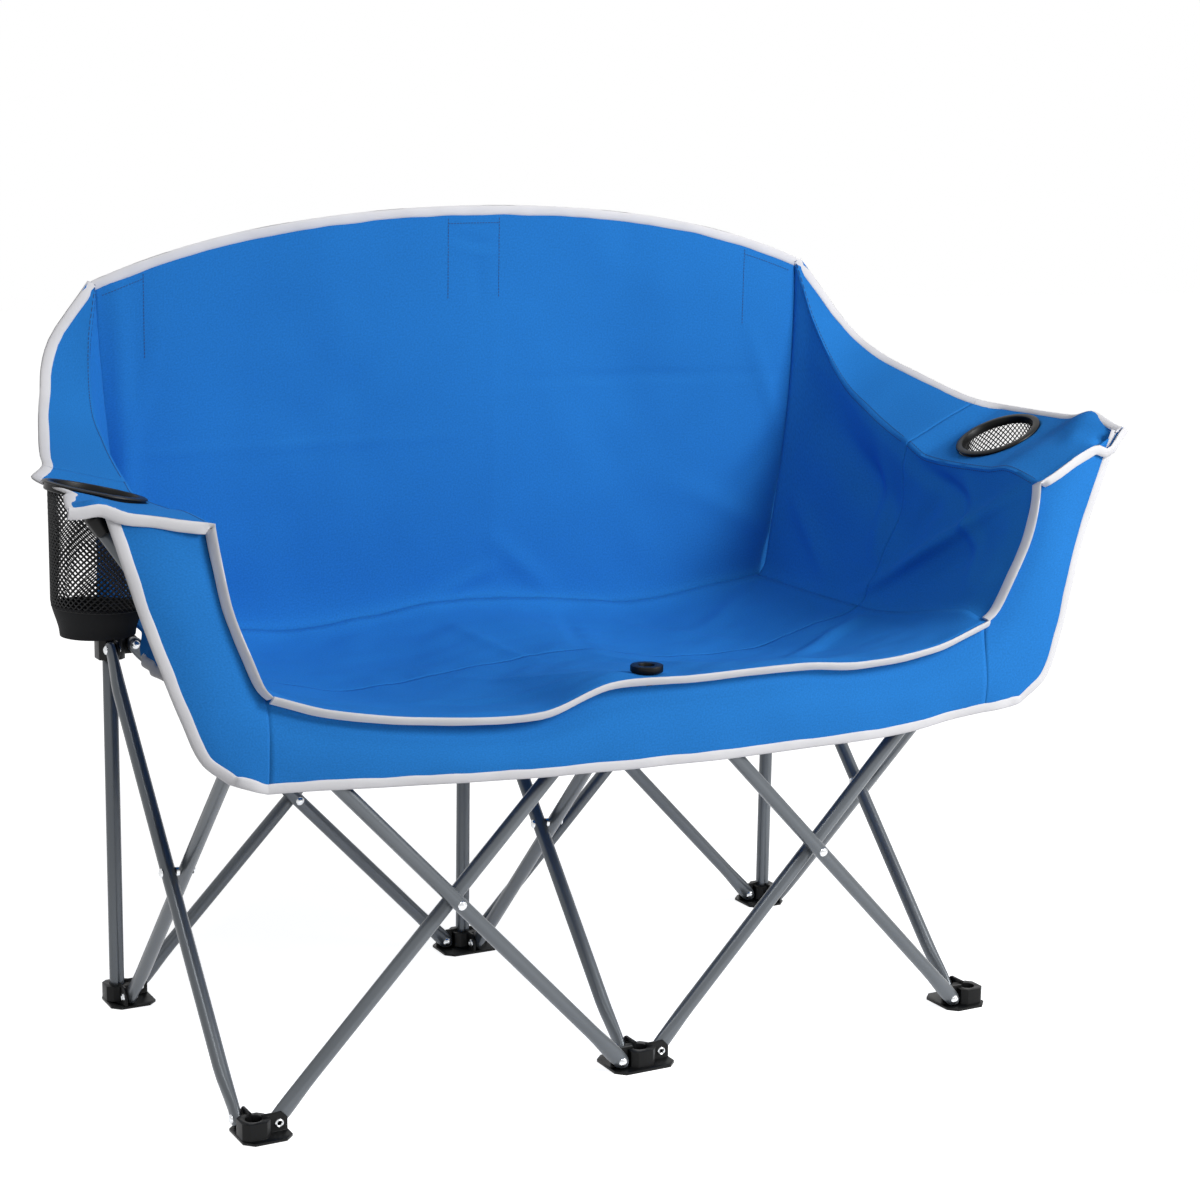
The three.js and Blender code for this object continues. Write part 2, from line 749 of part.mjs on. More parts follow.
function cup_holder(side, cup) {
  const ring = turned(
    [
      [ring_bore_r, -ring_below],
      [ring_body_r, -ring_below],
      [ring_body_r, ring_above - ring_flange_t],
      [ring_r, ring_above - ring_flange_t],
      [ring_r, ring_above - ring_flange_t / 2],
      [ring_body_r, ring_above],
      [ring_bore_r, ring_above],
      [ring_bore_r, -ring_below],
    ],
    fine_segments,
  );
  place("cup_ring_" + side, solid(in_strip(ring, cup)), plastic());
  const rim_z = cup.z + bag_over;
  const bottom_z = cup.z - bag_depth;
  const taper_z = bottom_z + bag_taper;
  const bag = turned(
    [
      [0, bottom_z],
      [bag_foot_r, bottom_z],
      [bag_r, taper_z],
      [bag_r, rim_z],
      [bag_r - bag_wall, rim_z],
      [bag_r - bag_wall, taper_z],
      [bag_foot_r - bag_wall, bottom_z + bag_wall],
      [0, bottom_z + bag_wall],
    ],
    fine_segments,
  );
  const wide = ring_r + bag_over;
  const lid = block(-wide, wide, -wide, wide, -ring_below - gap, wide);
  const shape = solid(bag.translate(cup.s * cup.x, ring_y, 0)).subtract(solid(in_strip(lid, cup)));
  place("cup_bag_" + side, shape, netting());
}

cup_holder("l", left_cup);
cup_holder("r", right_cup);

const ease = (t) => {
  const u = Math.min(Math.max(t, 0), 1);
  return u * u * (3 - 2 * u);
};

// The seat cloth's height: it sags between its hubs, less near the side creases.
// It rises at the front corners.
function seat_height(x, y) {
  const bay = Math.sin((Math.PI * x) / pitch_x) ** 2;
  const firm_x = pitch_x - seat_firm_in;
  const firm = 1 - seat_firm_share * ease((Math.abs(x) - firm_x) / (crease_middle_x - firm_x));
  const deep = Math.max(Math.cos((Math.PI * y) / (2 * row_y)), 0) * firm;
  const across = (Math.abs(x) - pitch_x + seat_corner_in) / seat_corner_in;
  const forward = (seat_corner_back - row_y - y) / seat_corner_back;
  const corner = ease(across) * ease(forward);
  return seat_z - seat_sag_x * bay - seat_sag_y * deep + seat_corner_rise * corner;
}

// The side crease's distance from the middle at a depth.
function crease_x(y) {
  const end_x = pitch_x - (y > 0 ? crease_rear_in : crease_front_in);
  const end_y = y > 0 ? seat_rear_y : seat_front_y;
  return crease_middle_x + ((end_x - crease_middle_x) * y) / end_y;
}

function seat_grid(y0, y1) {
  const grid = [];
  for (let i = 0; i <= seat_rows; i++) {
    const y = y0 + ((y1 - y0) * i) / seat_rows;
    const half = crease_x(y) - seat_side_gap;
    const row = [];
    for (let j = 0; j <= seat_columns; j++) {
      const x = -half + (2 * half * j) / seat_columns;
      row.push(new THREE.Vector3(x, y, seat_height(x, y)));
    }
    grid.push(row);
  }
  return grid;
}

place("seat_front", sheet(seat_grid(seat_front_y, -seat_split), cloth_t), cloth());
place("seat_rear", sheet(seat_grid(seat_split, seat_rear_y), cloth_t), cloth());

const plug = turned(
  [
    [0, plug_z],
    [plug_r, plug_z],
    [plug_r, plug_z + plug_h],
    [plug_cup_r, plug_z + plug_h],
    [plug_cup_r, plug_z + plug_h - plug_cup_depth],
    [0, plug_z + plug_h - plug_cup_depth],
  ],
  socket_segments,
);
place("seat_plug", solid(plug.translate(0, -row_y, 0)), plastic());

// The backrest's arched top edge, a little higher on the right, and its bottom edge along the seat's rear.
function back_top(x) {
  const share = x / back_half_x;
  const drop = back_flat_share * share ** 2 + (1 - back_flat_share) * share ** 4;
  return back_corner_z + back_rise * (1 - drop) + back_skew * share;
}

function back_bottom(x) {
  return seat_height(x, seat_rear_y) - back_tuck;
}

function back_grid() {
  return height_shares.map((t) => {
    const row = [];
    for (let j = 0; j <= back_columns; j++) {
      const x = -back_half_x + (2 * back_half_x * j) / back_columns;
      const z = back_bottom(x) + (back_top(x) - back_bottom(x)) * t;
      const bay = Math.sin((Math.PI * Math.min(Math.abs(x), pitch_x)) / pitch_x) ** 2;
      const bow = back_bow * bay * Math.sin(Math.PI * t);
      row.push(new THREE.Vector3(x, back_y + bow, z));
    }
    return row;
  });
}

function pocket(x, post_top) {
  const roof = post_top + gap + cap_dome + gap;
  const sleeve = rod(pocket_r, pocket_bottom_z, roof + pocket_close, socket_segments);
  const bore = rod(pocket_bore_r, hub_top_z, roof, socket_segments);
  return { sleeve: solid(sleeve.translate(x, row_y, 0)), bore: solid(bore.translate(x, row_y, 0)) };
}

function backrest() {
  let shape = sheet(back_grid(), cloth_t);
  const side_tops = [-pitch_x, pitch_x].map((x) => pocket(x, side_post_top_z));
  const pockets = [pocket(0, centre_post_top_z), ...side_tops];
  for (const { sleeve } of pockets) shape = shape.add(sleeve);
  for (const { bore } of pockets) shape = shape.subtract(bore);
  place("backrest", shape, cloth());
}

backrest();

// A side cloth: the arm strip across, then the inner wall down to the seat's side crease.
function side_grid(shares, start_y, end_y) {
  return shares.map((station) => {
    const y = start_y + (end_y - start_y) * station[0];
    const [outer_x, outer_z, seam_x, seam_z] = strip_edges(station);
    const low_x = crease_x(y);
    const low_z = seat_height(low_x, y);
    const row = strip_shares.map(
      (t) => new THREE.Vector3(outer_x + (seam_x - outer_x) * t, y, outer_z + (seam_z - outer_z) * t),
    );
    wall_shares.forEach((t, k) => {
      const x = seam_x + (low_x - seam_x) * t + wall_bulge * bulge_shares[k];
      row.push(new THREE.Vector3(x, y, seam_z + (low_z - seam_z) * t));
    });
    return row;
  });
}

function side_cloth(side, cup, wing_shares, arm_shares) {
  const wing = side_grid(wing_shares, seat_split, wing_rear_y);
  place("wing_" + side, sheet(cup.s > 0 ? wing : mirrored(wing), cloth_t), cloth());
  const arm = side_grid(arm_shares, -seat_split, arm_front_y);
  const hole = in_strip(rod(ring_hole_r, -ring_hole_reach, ring_hole_reach, fine_segments), cup);
  place("arm_" + side, sheet(cup.s > 0 ? arm : mirrored(arm), cloth_t).subtract(solid(hole)), cloth());
}

side_cloth("l", left_cup, wing_left_shares, arm_left_shares);
side_cloth("r", right_cup, wing_right_shares, arm_right_shares);

function hem_height(x) {
  const far = Math.min(Math.abs(x) / apron_half_x, 1);
  const next = hem_shares.findIndex(([place]) => far <= place && place > 0);
  const [near_place, near_drop] = hem_shares[next - 1];
  const [far_place, far_drop] = hem_shares[next];
  const t = (far - near_place) / (far_place - near_place);
  return seat_z - apron_drop * (near_drop + (far_drop - near_drop) * t);
}

function apron_middle() {
  const grid = drop_shares.map((t) => {
    const row = [];
    for (let j = 0; j <= seat_columns; j++) {
      const x = -apron_half_x + (2 * apron_half_x * j) / seat_columns;
      const top = seat_height(x, apron_y) - apron_top_gap;
      row.push(new THREE.Vector3(x, apron_y, top + (hem_height(x) - top) * t));
    }
    return row;
  });
  place("apron_c", sheet(grid, cloth_t), cloth());
}

function apron_side(side, s, shares) {
  const grid = shares.map(([in_share_x, in_share_z, out_share_x, out_share_z]) => {
    const in_x = apron_half_x + apron_split + side_out * in_share_x;
    const in_z = seat_z + side_rise * in_share_z;
    const wide = pitch_x + side_out * out_share_x - in_x;
    const tall = seat_z + side_rise * out_share_z - in_z;
    return apron_side_shares.map((t) => new THREE.Vector3(in_x + wide * t, apron_y, in_z + tall * t));
  });
  place("apron_" + side, sheet(s > 0 ? grid : mirrored(grid), cloth_t), cloth());
}

apron_middle();
apron_side("l", -1, apron_left_shares);
apron_side("r", 1, apron_right_shares);

export default group;
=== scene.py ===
import json
import math

import bmesh
import bpy
from mathutils import Matrix, Vector, noise


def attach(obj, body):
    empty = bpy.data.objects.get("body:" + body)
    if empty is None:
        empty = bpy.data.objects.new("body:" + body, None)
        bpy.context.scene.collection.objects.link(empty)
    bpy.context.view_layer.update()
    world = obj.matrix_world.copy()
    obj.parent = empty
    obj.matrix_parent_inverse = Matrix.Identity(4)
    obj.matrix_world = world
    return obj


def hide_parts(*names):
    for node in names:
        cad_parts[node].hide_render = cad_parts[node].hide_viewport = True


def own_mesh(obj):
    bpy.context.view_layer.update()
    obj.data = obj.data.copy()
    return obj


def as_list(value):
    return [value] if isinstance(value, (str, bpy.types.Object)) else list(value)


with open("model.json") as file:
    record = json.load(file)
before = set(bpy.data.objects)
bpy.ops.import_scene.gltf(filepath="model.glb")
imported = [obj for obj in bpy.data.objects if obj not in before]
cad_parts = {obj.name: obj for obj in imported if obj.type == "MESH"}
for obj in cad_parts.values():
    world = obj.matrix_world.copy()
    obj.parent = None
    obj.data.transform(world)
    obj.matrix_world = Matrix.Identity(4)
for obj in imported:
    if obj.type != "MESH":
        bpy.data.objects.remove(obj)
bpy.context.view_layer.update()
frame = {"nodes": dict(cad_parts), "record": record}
scene = bpy.context.scene
scene.view_settings.view_transform = "Standard"

# Camera: a product shot from the sitter's right, a little above the arms,
# with the whole chair in the lower part of a square picture.
YAW = math.radians(28.877)
PITCH = math.radians(10.424)
ROLL = math.radians(0.926)
CAMERA_PLACE = Vector((-1.3844, -2.6383, 1.0875))
LENS = 71.19
SENSOR = 36

forward = Vector(
    (math.sin(YAW) * math.cos(PITCH), math.cos(YAW) * math.cos(PITCH), -math.sin(PITCH))
)
level_right = Vector((math.cos(YAW), -math.sin(YAW), 0))
level_up = level_right.cross(forward)
right = level_right * math.cos(ROLL) + level_up * math.sin(ROLL)
up = level_up * math.cos(ROLL) - level_right * math.sin(ROLL)
lens = bpy.data.cameras.new("camera")
lens.lens = LENS
lens.sensor_width = SENSOR
camera = bpy.data.objects.new("camera", lens)
scene.collection.objects.link(camera)
axes = Matrix((right, up, -forward)).transposed()
camera.matrix_world = Matrix.Translation(CAMERA_PLACE) @ axes.to_4x4()
scene.camera = camera

# Studio: white paper floor and surround, a weak even sky, one large soft
# lamp in front on the right, and a small one high on the left that models
# the folds. The paper glows a little, so that floor and surround meet unseen.
SKY_LEVEL = 0.13
KEY_WATTS = 99
FILL_WATTS = 17
PAPER_GLOW = 0.89
PAPER_WHITE = 0.93
FLOOR_HALF = 14
FLOOR_DROP = 0.0005


def add_node(tree, kind, settings=None, *sources, **links):
    """A node with its settings, the sources linked to its first inputs, others by name."""
    node = tree.nodes.new(kind)
    for key, value in (settings or {}).items():
        if isinstance(key, int) or key in node.inputs.keys():
            node.inputs[key].default_value = value
        else:
            setattr(node, key, value)
    for number, source in enumerate(sources):
        tree.links.new(source, node.inputs[number])
    for key, source in links.items():
        tree.links.new(source, node.inputs[key.replace("_", " ")])
    return node


def seen_rays(tree):
    """1 where the camera sees the surface, straight or by gloss or through glass, else 0."""
    path = add_node(tree, "ShaderNodeLightPath")
    seen = path.outputs["Is Camera Ray"]
    for kind in ("Is Glossy Ray", "Is Transmission Ray"):
        most = {"operation": "MAXIMUM"}
        seen = add_node(tree, "ShaderNodeMath", most, seen, path.outputs[kind]).outputs[0]
    return seen


world = bpy.data.worlds.new("studio")
world.use_nodes = True
world.node_tree.nodes.clear()
tree = world.node_tree
span = {"To Min": SKY_LEVEL, "To Max": 1.0}
level = add_node(tree, "ShaderNodeMapRange", span, Value=seen_rays(tree))
sky = add_node(tree, "ShaderNodeBackground", {"Color": (1, 1, 1, 1)}, Strength=level.outputs[0])
add_node(tree, "ShaderNodeOutputWorld", None, Surface=sky.outputs[0])
scene.world = world


def soft_lamp(name, watts, size, place, target):
    lamp = bpy.data.lights.new(name, "AREA")
    lamp.energy = watts
    lamp.shape = "SQUARE"
    lamp.size = size
    holder = bpy.data.objects.new(name, lamp)
    scene.collection.objects.link(holder)
    holder.location = place
    holder.rotation_euler = (Vector(target) - Vector(place)).to_track_quat("-Z", "Y").to_euler()


soft_lamp("key", KEY_WATTS, 1.3, (1.9, -2.3, 2.2), (0, 0, 0.6))
soft_lamp("fill", FILL_WATTS, 0.5, (-1.4, -0.9, 2.9), (0.4, 0, 0.6))

floor_mesh = bpy.data.meshes.new("floor")
shape = bmesh.new()
bmesh.ops.create_grid(shape, x_segments=1, y_segments=1, size=FLOOR_HALF)
shape.to_mesh(floor_mesh)
shape.free()
floor = bpy.data.objects.new("floor", floor_mesh)
floor.location.z = -FLOOR_DROP
scene.collection.objects.link(floor)
paper = bpy.data.materials.new("studio_paper")
paper.use_nodes = True
tree = paper.node_tree
shader = tree.nodes["Principled BSDF"]
shader.inputs["Base Color"].default_value = (PAPER_WHITE, PAPER_WHITE, PAPER_WHITE, 1)
shader.inputs["Roughness"].default_value = 1
shader.inputs["Specular IOR Level"].default_value = 0
settings = {"operation": "MULTIPLY", 1: PAPER_GLOW}
glow = add_node(tree, "ShaderNodeMath", settings, seen_rays(tree))
lit = add_node(tree, "ShaderNodeEmission", None, Strength=glow.outputs[0])
both = add_node(tree, "ShaderNodeAddShader", None, shader.outputs[0], lit.outputs[0])
tree.links.new(both.outputs[0], tree.nodes["Material Output"].inputs["Surface"])
floor_mesh.materials.append(paper)

# Crossing bars: 18 mm drawn steel tube, each end pressed flat and rounded,
# riveted through the webs of a foot and a hub, under a grey powder coat.
COLUMN = 0.500
FRONT_ROW = -0.246
REAR_ROW = 0.258
PIVOT_IN_X = 0.030
PIVOT_IN_Y = 0.032
FOOT_PIVOT = 0.013
HUB_PIVOT = 0.474
LAYER = 0.011
TUBE_R = 0.009
WEB_HALF = 0.0017
STEEL_HEX = "#5C6166"
STEEL_WORN_HEX = "#6A6F74"
ZINC_HEX = "#D8DADC"
FLAT_HALF = 0.0065
# Distance from the rivet along the bar, half width and half thickness there.
PRESSED_END = [
    (-0.0092, 0.0025, 0.0050),
    (-0.0082, 0.0052, 0.0060),
    (-0.0060, 0.0076, FLAT_HALF),
    (-0.0035, 0.0089, FLAT_HALF),
    (0.0000, 0.0097, FLAT_HALF),
    (0.0140, 0.0106, FLAT_HALF),
    (0.0300, 0.0102, 0.0074),
    (0.0500, 0.0093, 0.0086),
    (0.0650, 0.0090, 0.0090),
]
# Radius and height of a rivet's set head, and of one rolled over on a pierced end.
SET_HEAD = [
    (0, 0.0026), (0.0026, 0.0023), (0.0045, 0.0014), (0.0056, 0.0002), (0.0058, -0.0006),
    (0, -0.0006),
]
ROLLED_HEAD = [
    (0, -0.0006), (0.0021, -0.0006), (0.0025, 0.0012), (0.0037, 0.0020), (0.0051, 0.0012),
    (0.0055, -0.0006), (0, -0.0006),
]
COLLAR_R = 0.0055
body_of = {
    node: body for body, nodes in frame["record"]["behaviour"]["bodies"].items() for node in nodes
}


def srgb(text):
    values = [int(text[i : i + 2], 16) / 255 for i in (1, 3, 5)]
    return tuple(v / 12.92 if v <= 0.04045 else ((v + 0.055) / 1.055) ** 2.4 for v in values) + (1,)


def plain_material(name, colour, roughness):
    """A new material, its tree, its shader and its texture coordinates."""
    material = bpy.data.materials.new(name)
    material.use_nodes = True
    shader = material.node_tree.nodes["Principled BSDF"]
    shader.inputs["Base Color"].default_value = srgb(colour)
    shader.inputs["Roughness"].default_value = roughness
    place = add_node(material.node_tree, "ShaderNodeTexCoord").outputs
    return material, material.node_tree, shader, place


def speckle(tree, place, scale, detail, space="Object"):
    """Noise laid over the piece, from 0 to 1."""
    settings = {"Scale": scale, "Detail": detail}
    return add_node(tree, "ShaderNodeTexNoise", settings, Vector=place[space]).outputs["Fac"]


def mixed(tree, share, first, second):
    """Two sRGB colours mixed by share."""
    settings = {"data_type": "RGBA", 6: srgb(first), 7: srgb(second)}
    return add_node(tree, "ShaderNodeMix", settings, share).outputs[2]


def emboss(tree, shader, height, strength, distance):
    settings = {"Strength": strength, "Distance": distance}
    skin = add_node(tree, "ShaderNodeBump", settings, Height=height)
    tree.links.new(skin.outputs["Normal"], shader.inputs["Normal"])


def dull(tree, shader, share, least, most):
    """Roughness from least to most, by share."""
    settings = {"To Min": least, "To Max": most}
    level = add_node(tree, "ShaderNodeMapRange", settings, Value=share)
    tree.links.new(level.outputs[0], shader.inputs["Roughness"])


# Powder coat: a slightly pebbled semi-gloss skin over steel, which keeps
# a soft streak of light along each tube. Pebbling about 0.8 mm across.
powder_coat, tree, shader, place = plain_material("powder_coated_steel", STEEL_HEX, 0.28)
shader.inputs["Metallic"].default_value = 0.4
paint = mixed(tree, speckle(tree, place, 9.0, 3.0), STEEL_HEX, STEEL_WORN_HEX)
tree.links.new(paint, shader.inputs["Base Color"])
emboss(tree, shader, speckle(tree, place, 1250.0, 2.0), 0.12, 0.0003)

# Rivets: bright zinc plate, polished by the setting tool and dulled in
# small patches about 1.5 mm across.
bright_zinc, tree, shader, place = plain_material("bright_zinc_plate", ZINC_HEX, 0.2)
shader.inputs["Metallic"].default_value = 1
dull(tree, shader, speckle(tree, place, 700.0, 3.0), 0.14, 0.32)


def paint_new(shape, slot):
    """Gives the faces made since the last call this material slot."""
    for face in shape.faces:
        if not face.tag:
            face.material_index = slot
            face.tag = True


def station(centre, along, across, half_across, half_deep):
    """Where a unit circle square to along lies, and how far it is stretched each way."""
    deep = along.cross(across)
    turn = Matrix((across * half_across, deep * half_deep, along)).transposed()
    return Matrix.Translation(centre) @ turn.to_4x4()


def swept(shape, stations, segments=20, slot=0):
    """A closed rod: a unit circle extruded from station to station."""
    rim = bmesh.ops.create_circle(shape, cap_ends=True, radius=1, segments=segments)["verts"]
    end = rim[0].link_faces[0]
    last = Matrix.Identity(4)
    for number, place in enumerate(stations):
        if number:
            grown = bmesh.ops.extrude_face_region(shape, geom=[end])["geom"]
            end = next(part for part in grown if isinstance(part, bmesh.types.BMFace))
            end.tag = False
        bmesh.ops.transform(shape, matrix=place @ last.inverted(), verts=list(end.verts))
        last = place
    paint_new(shape, slot)


def turned(shape, profile, place, segments=16, slot=0):
    """Spins a profile of (radius, height) about its axis and sets it at place."""
    old = set(shape.verts)
    verts = [shape.verts.new((radius, 0, height)) for radius, height in profile]
    edges = [shape.edges.new(pair) for pair in zip(verts, verts[1:])]
    circle = {"cent": (0, 0, 0), "axis": (0, 0, 1), "angle": 2 * math.pi, "steps": segments}
    bmesh.ops.spin(shape, geom=verts + edges, use_merge=True, **circle)
    made = [vert for vert in shape.verts if vert not in old]
    bmesh.ops.transform(shape, matrix=place, verts=made)
    bmesh.ops.remove_doubles(shape, verts=made, dist=1e-6)
    paint_new(shape, slot)


def finished(name, shape, materials, crisp=35):
    """Makes the mesh a piece, its faces outward, with sharp edges past crisp degrees."""
    bmesh.ops.recalc_face_normals(shape, faces=list(shape.faces))
    for face in shape.faces:
        face.smooth = True
    for edge in shape.edges:
        if edge.is_manifold:
            edge.smooth = edge.calc_face_angle() < math.radians(crisp)
    mesh = bpy.data.meshes.new(name)
    shape.to_mesh(mesh)
    shape.free()
    if "custom_normal" in mesh.attributes:
        mesh.attributes.remove(mesh.attributes["custom_normal"])
    for material in materials:
        mesh.materials.append(material)
    piece = bpy.data.objects.new(name, mesh)
    scene.collection.objects.link(piece)
    return piece


def stands_for(piece, node):
    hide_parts(node)
    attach(piece, body_of[node])


def bar(node, foot_end, hub_end, away):
    """A bar whose layer lies on the away side of the webs."""
    length = (hub_end - foot_end).length
    along = (hub_end - foot_end) / length
    across = away.cross(along)
    far_end = [(length - distance, half, deep) for distance, half, deep in reversed(PRESSED_END)]
    stations = [
        station(foot_end + along * distance - away * (TUBE_R - deep), along, across, half, deep)
        for distance, half, deep in PRESSED_END + far_end
    ]
    shape = bmesh.new()
    swept(shape, stations)
    for pivot in (foot_end, hub_end):
        outer = pivot + away * (2 * FLAT_HALF - TUBE_R)
        inner = pivot - away * (LAYER + WEB_HALF)
        turned(shape, SET_HEAD, station(outer, away, along, 1, 1), slot=1)
        turned(shape, ROLLED_HEAD, station(inner, -away, along, 1, 1), slot=1)
    stands_for(finished("tube_" + node, shape, [powder_coat, bright_zinc]), node)


def crossing_rivet(node, centre, axis):
    """The long rivet through both tubes, with the collar that keeps them apart."""
    outer = LAYER + TUBE_R
    collar = LAYER - TUBE_R
    across = axis.orthogonal().normalized()
    shape = bmesh.new()
    turned(shape, SET_HEAD, station(centre - axis * outer, -axis, across, 1, 1))
    turned(shape, ROLLED_HEAD, station(centre + axis * outer, axis, across, 1, 1))
    collar_profile = [(0, -collar), (COLLAR_R, -collar), (COLLAR_R, collar), (0, collar)]
    turned(shape, collar_profile, station(centre, axis, across, 1, 1))
    stands_for(finished("crossing_" + node, shape, [bright_zinc]), node)


ALONG_X = Vector((1, 0, 0))
ALONG_Y = Vector((0, 1, 0))
for row, row_y in (("front", FRONT_ROW), ("rear", REAR_ROW)):
    for left_x, up_left, up_right, rivet in ((-COLUMN, "a", "b", "l"), (0, "c", "d", "r")):
        low = left_x + PIVOT_IN_X
        high = left_x + COLUMN - PIVOT_IN_X
        for letter, way, foot_x, hub_x in ((up_left, -1, high, low), (up_right, 1, low, high)):
            foot_end = Vector((foot_x, row_y + LAYER * way, FOOT_PIVOT))
            hub_end = Vector((hub_x, row_y + LAYER * way, HUB_PIVOT))
            bar(f"bar_{row}_{letter}", foot_end, hub_end, ALONG_Y * way)
        middle = Vector(((low + high) / 2, row_y, (FOOT_PIVOT + HUB_PIVOT) / 2))
        crossing_rivet(f"rivet_{row}_{rivet}", middle, ALONG_Y)
for column, x in (("left", -COLUMN), ("mid", 0), ("right", COLUMN)):
    front = FRONT_ROW + PIVOT_IN_Y
    rear = REAR_ROW - PIVOT_IN_Y
    for letter, way, foot_y, hub_y in (("a", 1, rear, front), ("b", -1, front, rear)):
        foot_end = Vector((x + LAYER * way, foot_y, FOOT_PIVOT))
        hub_end = Vector((x + LAYER * way, hub_y, HUB_PIVOT))
        bar(f"bar_{column}_{letter}", foot_end, hub_end, ALONG_X * way)
    middle = Vector((x, (front + rear) / 2, (FOOT_PIVOT + HUB_PIVOT) / 2))
    crossing_rivet("rivet_" + column, middle, ALONG_X)

# Rear posts and arm uprights: 19 mm and 18 mm tube of the same steel. The
# posts stand in the rear feet; the uprights lean out from the front hubs.
POST_R = 0.0095
POST_FOOT = 0.0053
POSTS = {"l": (-COLUMN, 0.922), "c": (0, 0.992), "r": (COLUMN, 0.922)}
EDGE_BREAK = 0.0008
FORK_PIVOT = 0.478
FORK_OUT = 0.013
PAST_PIVOT = 0.007
# Which way each upright leans, its angle and its length above the pivot.
UPRIGHTS = {"l": (-1, 35, 0.290), "r": (1, 33, 0.312)}


def straight_tube(shape, low, high, radius):
    along = (high - low).normalized()
    across = along.orthogonal().normalized()
    ends = ((low, radius - EDGE_BREAK), (low + along * EDGE_BREAK, radius))
    ends += ((high - along * EDGE_BREAK, radius), (high, radius - EDGE_BREAK))
    stations = [station(centre, along, across, half, half) for centre, half in ends]
    swept(shape, stations, segments=28)


for column, (x, top) in POSTS.items():
    shape = bmesh.new()
    straight_tube(shape, Vector((x, REAR_ROW, POST_FOOT)), Vector((x, REAR_ROW, top)), POST_R)
    stands_for(finished("tube_post_" + column, shape, [powder_coat]), "post_" + column)
for side, (sign, lean, length) in UPRIGHTS.items():
    low = Vector((sign * COLUMN, FRONT_ROW, FORK_PIVOT))
    way = Vector((sign * math.sin(math.radians(lean)), 0, math.cos(math.radians(lean))))
    shape = bmesh.new()
    straight_tube(shape, low - way * PAST_PIVOT, low + way * length, TUBE_R)
    for face in (-1, 1):
        head = station(low + ALONG_Y * face * FORK_OUT, ALONG_Y * face, ALONG_X, 1, 1)
        turned(shape, SET_HEAD, head, slot=1)
    piece = finished("tube_arm_upright_" + side, shape, [powder_coat, bright_zinc])
    stands_for(piece, "arm_upright_" + side)

# Feet, hubs, caps and seat plug: injection-moulded black polypropylene
# with eased edges, pushed on the tubes and riveted to the bars.
PLASTIC_HEX = "#08090A"
MOULD_RADIUS = 0.0008
FACET_DEG = 2
EASED_DEG = 30

# A fine spark-eroded grain, about 1 mm, breaks the reflections.
moulded, tree, shader, place = plain_material("moulded_polypropylene", PLASTIC_HEX, 0.38)
shader.inputs["Specular IOR Level"].default_value = 0.2
emboss(tree, shader, speckle(tree, place, 1000.0, 3.0), 0.25, 0.0003)
dull(tree, shader, speckle(tree, place, 60.0, 4.0), 0.30, 0.48)


def moulding(node):
    """The CAD moulding with its edges eased by the mould radius."""
    shape = bmesh.new()
    shape.from_mesh(frame["nodes"][node].data)
    bmesh.ops.remove_doubles(shape, verts=shape.verts, dist=1e-5)
    flat = math.radians(FACET_DEG)
    bmesh.ops.dissolve_limit(shape, angle_limit=flat, verts=shape.verts, edges=shape.edges)
    whole = [edge for edge in shape.edges if edge.is_manifold]
    crisp = [edge for edge in whole if edge.calc_face_angle() > math.radians(EASED_DEG)]
    cut = {"offset_type": "OFFSET", "affect": "EDGES", "profile": 0.5, "clamp_overlap": True}
    bmesh.ops.bevel(shape, geom=crisp, offset=MOULD_RADIUS, segments=2, material=-1, **cut)
    stands_for(finished("moulded_" + node, shape, [moulded]), node)


for name in frame["nodes"]:
    if name.startswith(("foot_", "hub_", "post_cap", "arm_cap", "seat_plug")):
        moulding(name)

# Backrest: woven polyester cloth cut as one arched panel, its top edge
# bound with tape, hung on the three posts by sleeves sewn on behind.
CLOTH = 0.0016
BACK_Y = 0.2425
BACK_HALF = 0.518
BACK_CORNER = 0.946
BACK_RISE = 0.083
BACK_SKEW = 0.012
BACK_ARCH = (0.75, 0.25)
BACK_BOW = 0.014
BACK_TUCK = 0.004
CLOTH_HEX = "#2480D3"
CLOTH_DEEP_HEX = "#2077C8"
TAPE_HEX = "#D6D5D9"
TAPE_SOILED_HEX = "#D2D2D6"
TAPE_CLEAN_HEX = "#E4E3E6"
THREAD_HEX = "#123E72"
TAPE_WIDTH = 0.0135
TAPE_THICK = 0.0040
TAPE_OVER = 0.0012
TAPE_PROUD = 0.007
TAPE_UNEVEN = 0.0006
STITCH_PITCH = 0.0042
STITCH_LONG = 0.0027
STITCH_WIDE = 0.0008
STITCH_PROUD = 0.0004
SEAM_MARKS = 60
SLEEVE_DEEP = 0.0275
SLEEVE_LOW = 0.506
SLEEVE_SHUT = 0.012
SLEEVE_TOP_IN = 0.004
SLEEVE_LIFT = 0.0019
# Each post's pocket: its edges' x, the post's x and the height of its top.
POCKETS = (
    (-0.034, 0.041, 0, 0.996),
    (-0.516, -0.452, -COLUMN, 0.926),
    (0.429, 0.516, COLUMN, 0.926),
)
# The seam up each pocket's edge starts and ends this far under the arch.
POCKET_SEAM = (0.12, 0.014)
# The seam across each pocket's top: from x to x, this far under the arch.
TOP_SEAMS = ((-0.034, 0.041), (0.429, 0.505), (-0.505, -0.452))
TOP_SEAM_IN = 0.022
# Slack in the panel: waves per metre in x and z, seed and depth.
BACK_WAVES = ((7, 5, 0, 0.006), (19, 15, 5, 0.0016))
SLACK_RISE = 0.06
# The round where upright cloth meets the seat, and the backrest's tuck there.
FOOT_DEEP = 0.010
FOOT_START = 0.010
BACK_ROUND_REACH = 0.06
FOOT_TUCK = 0.003
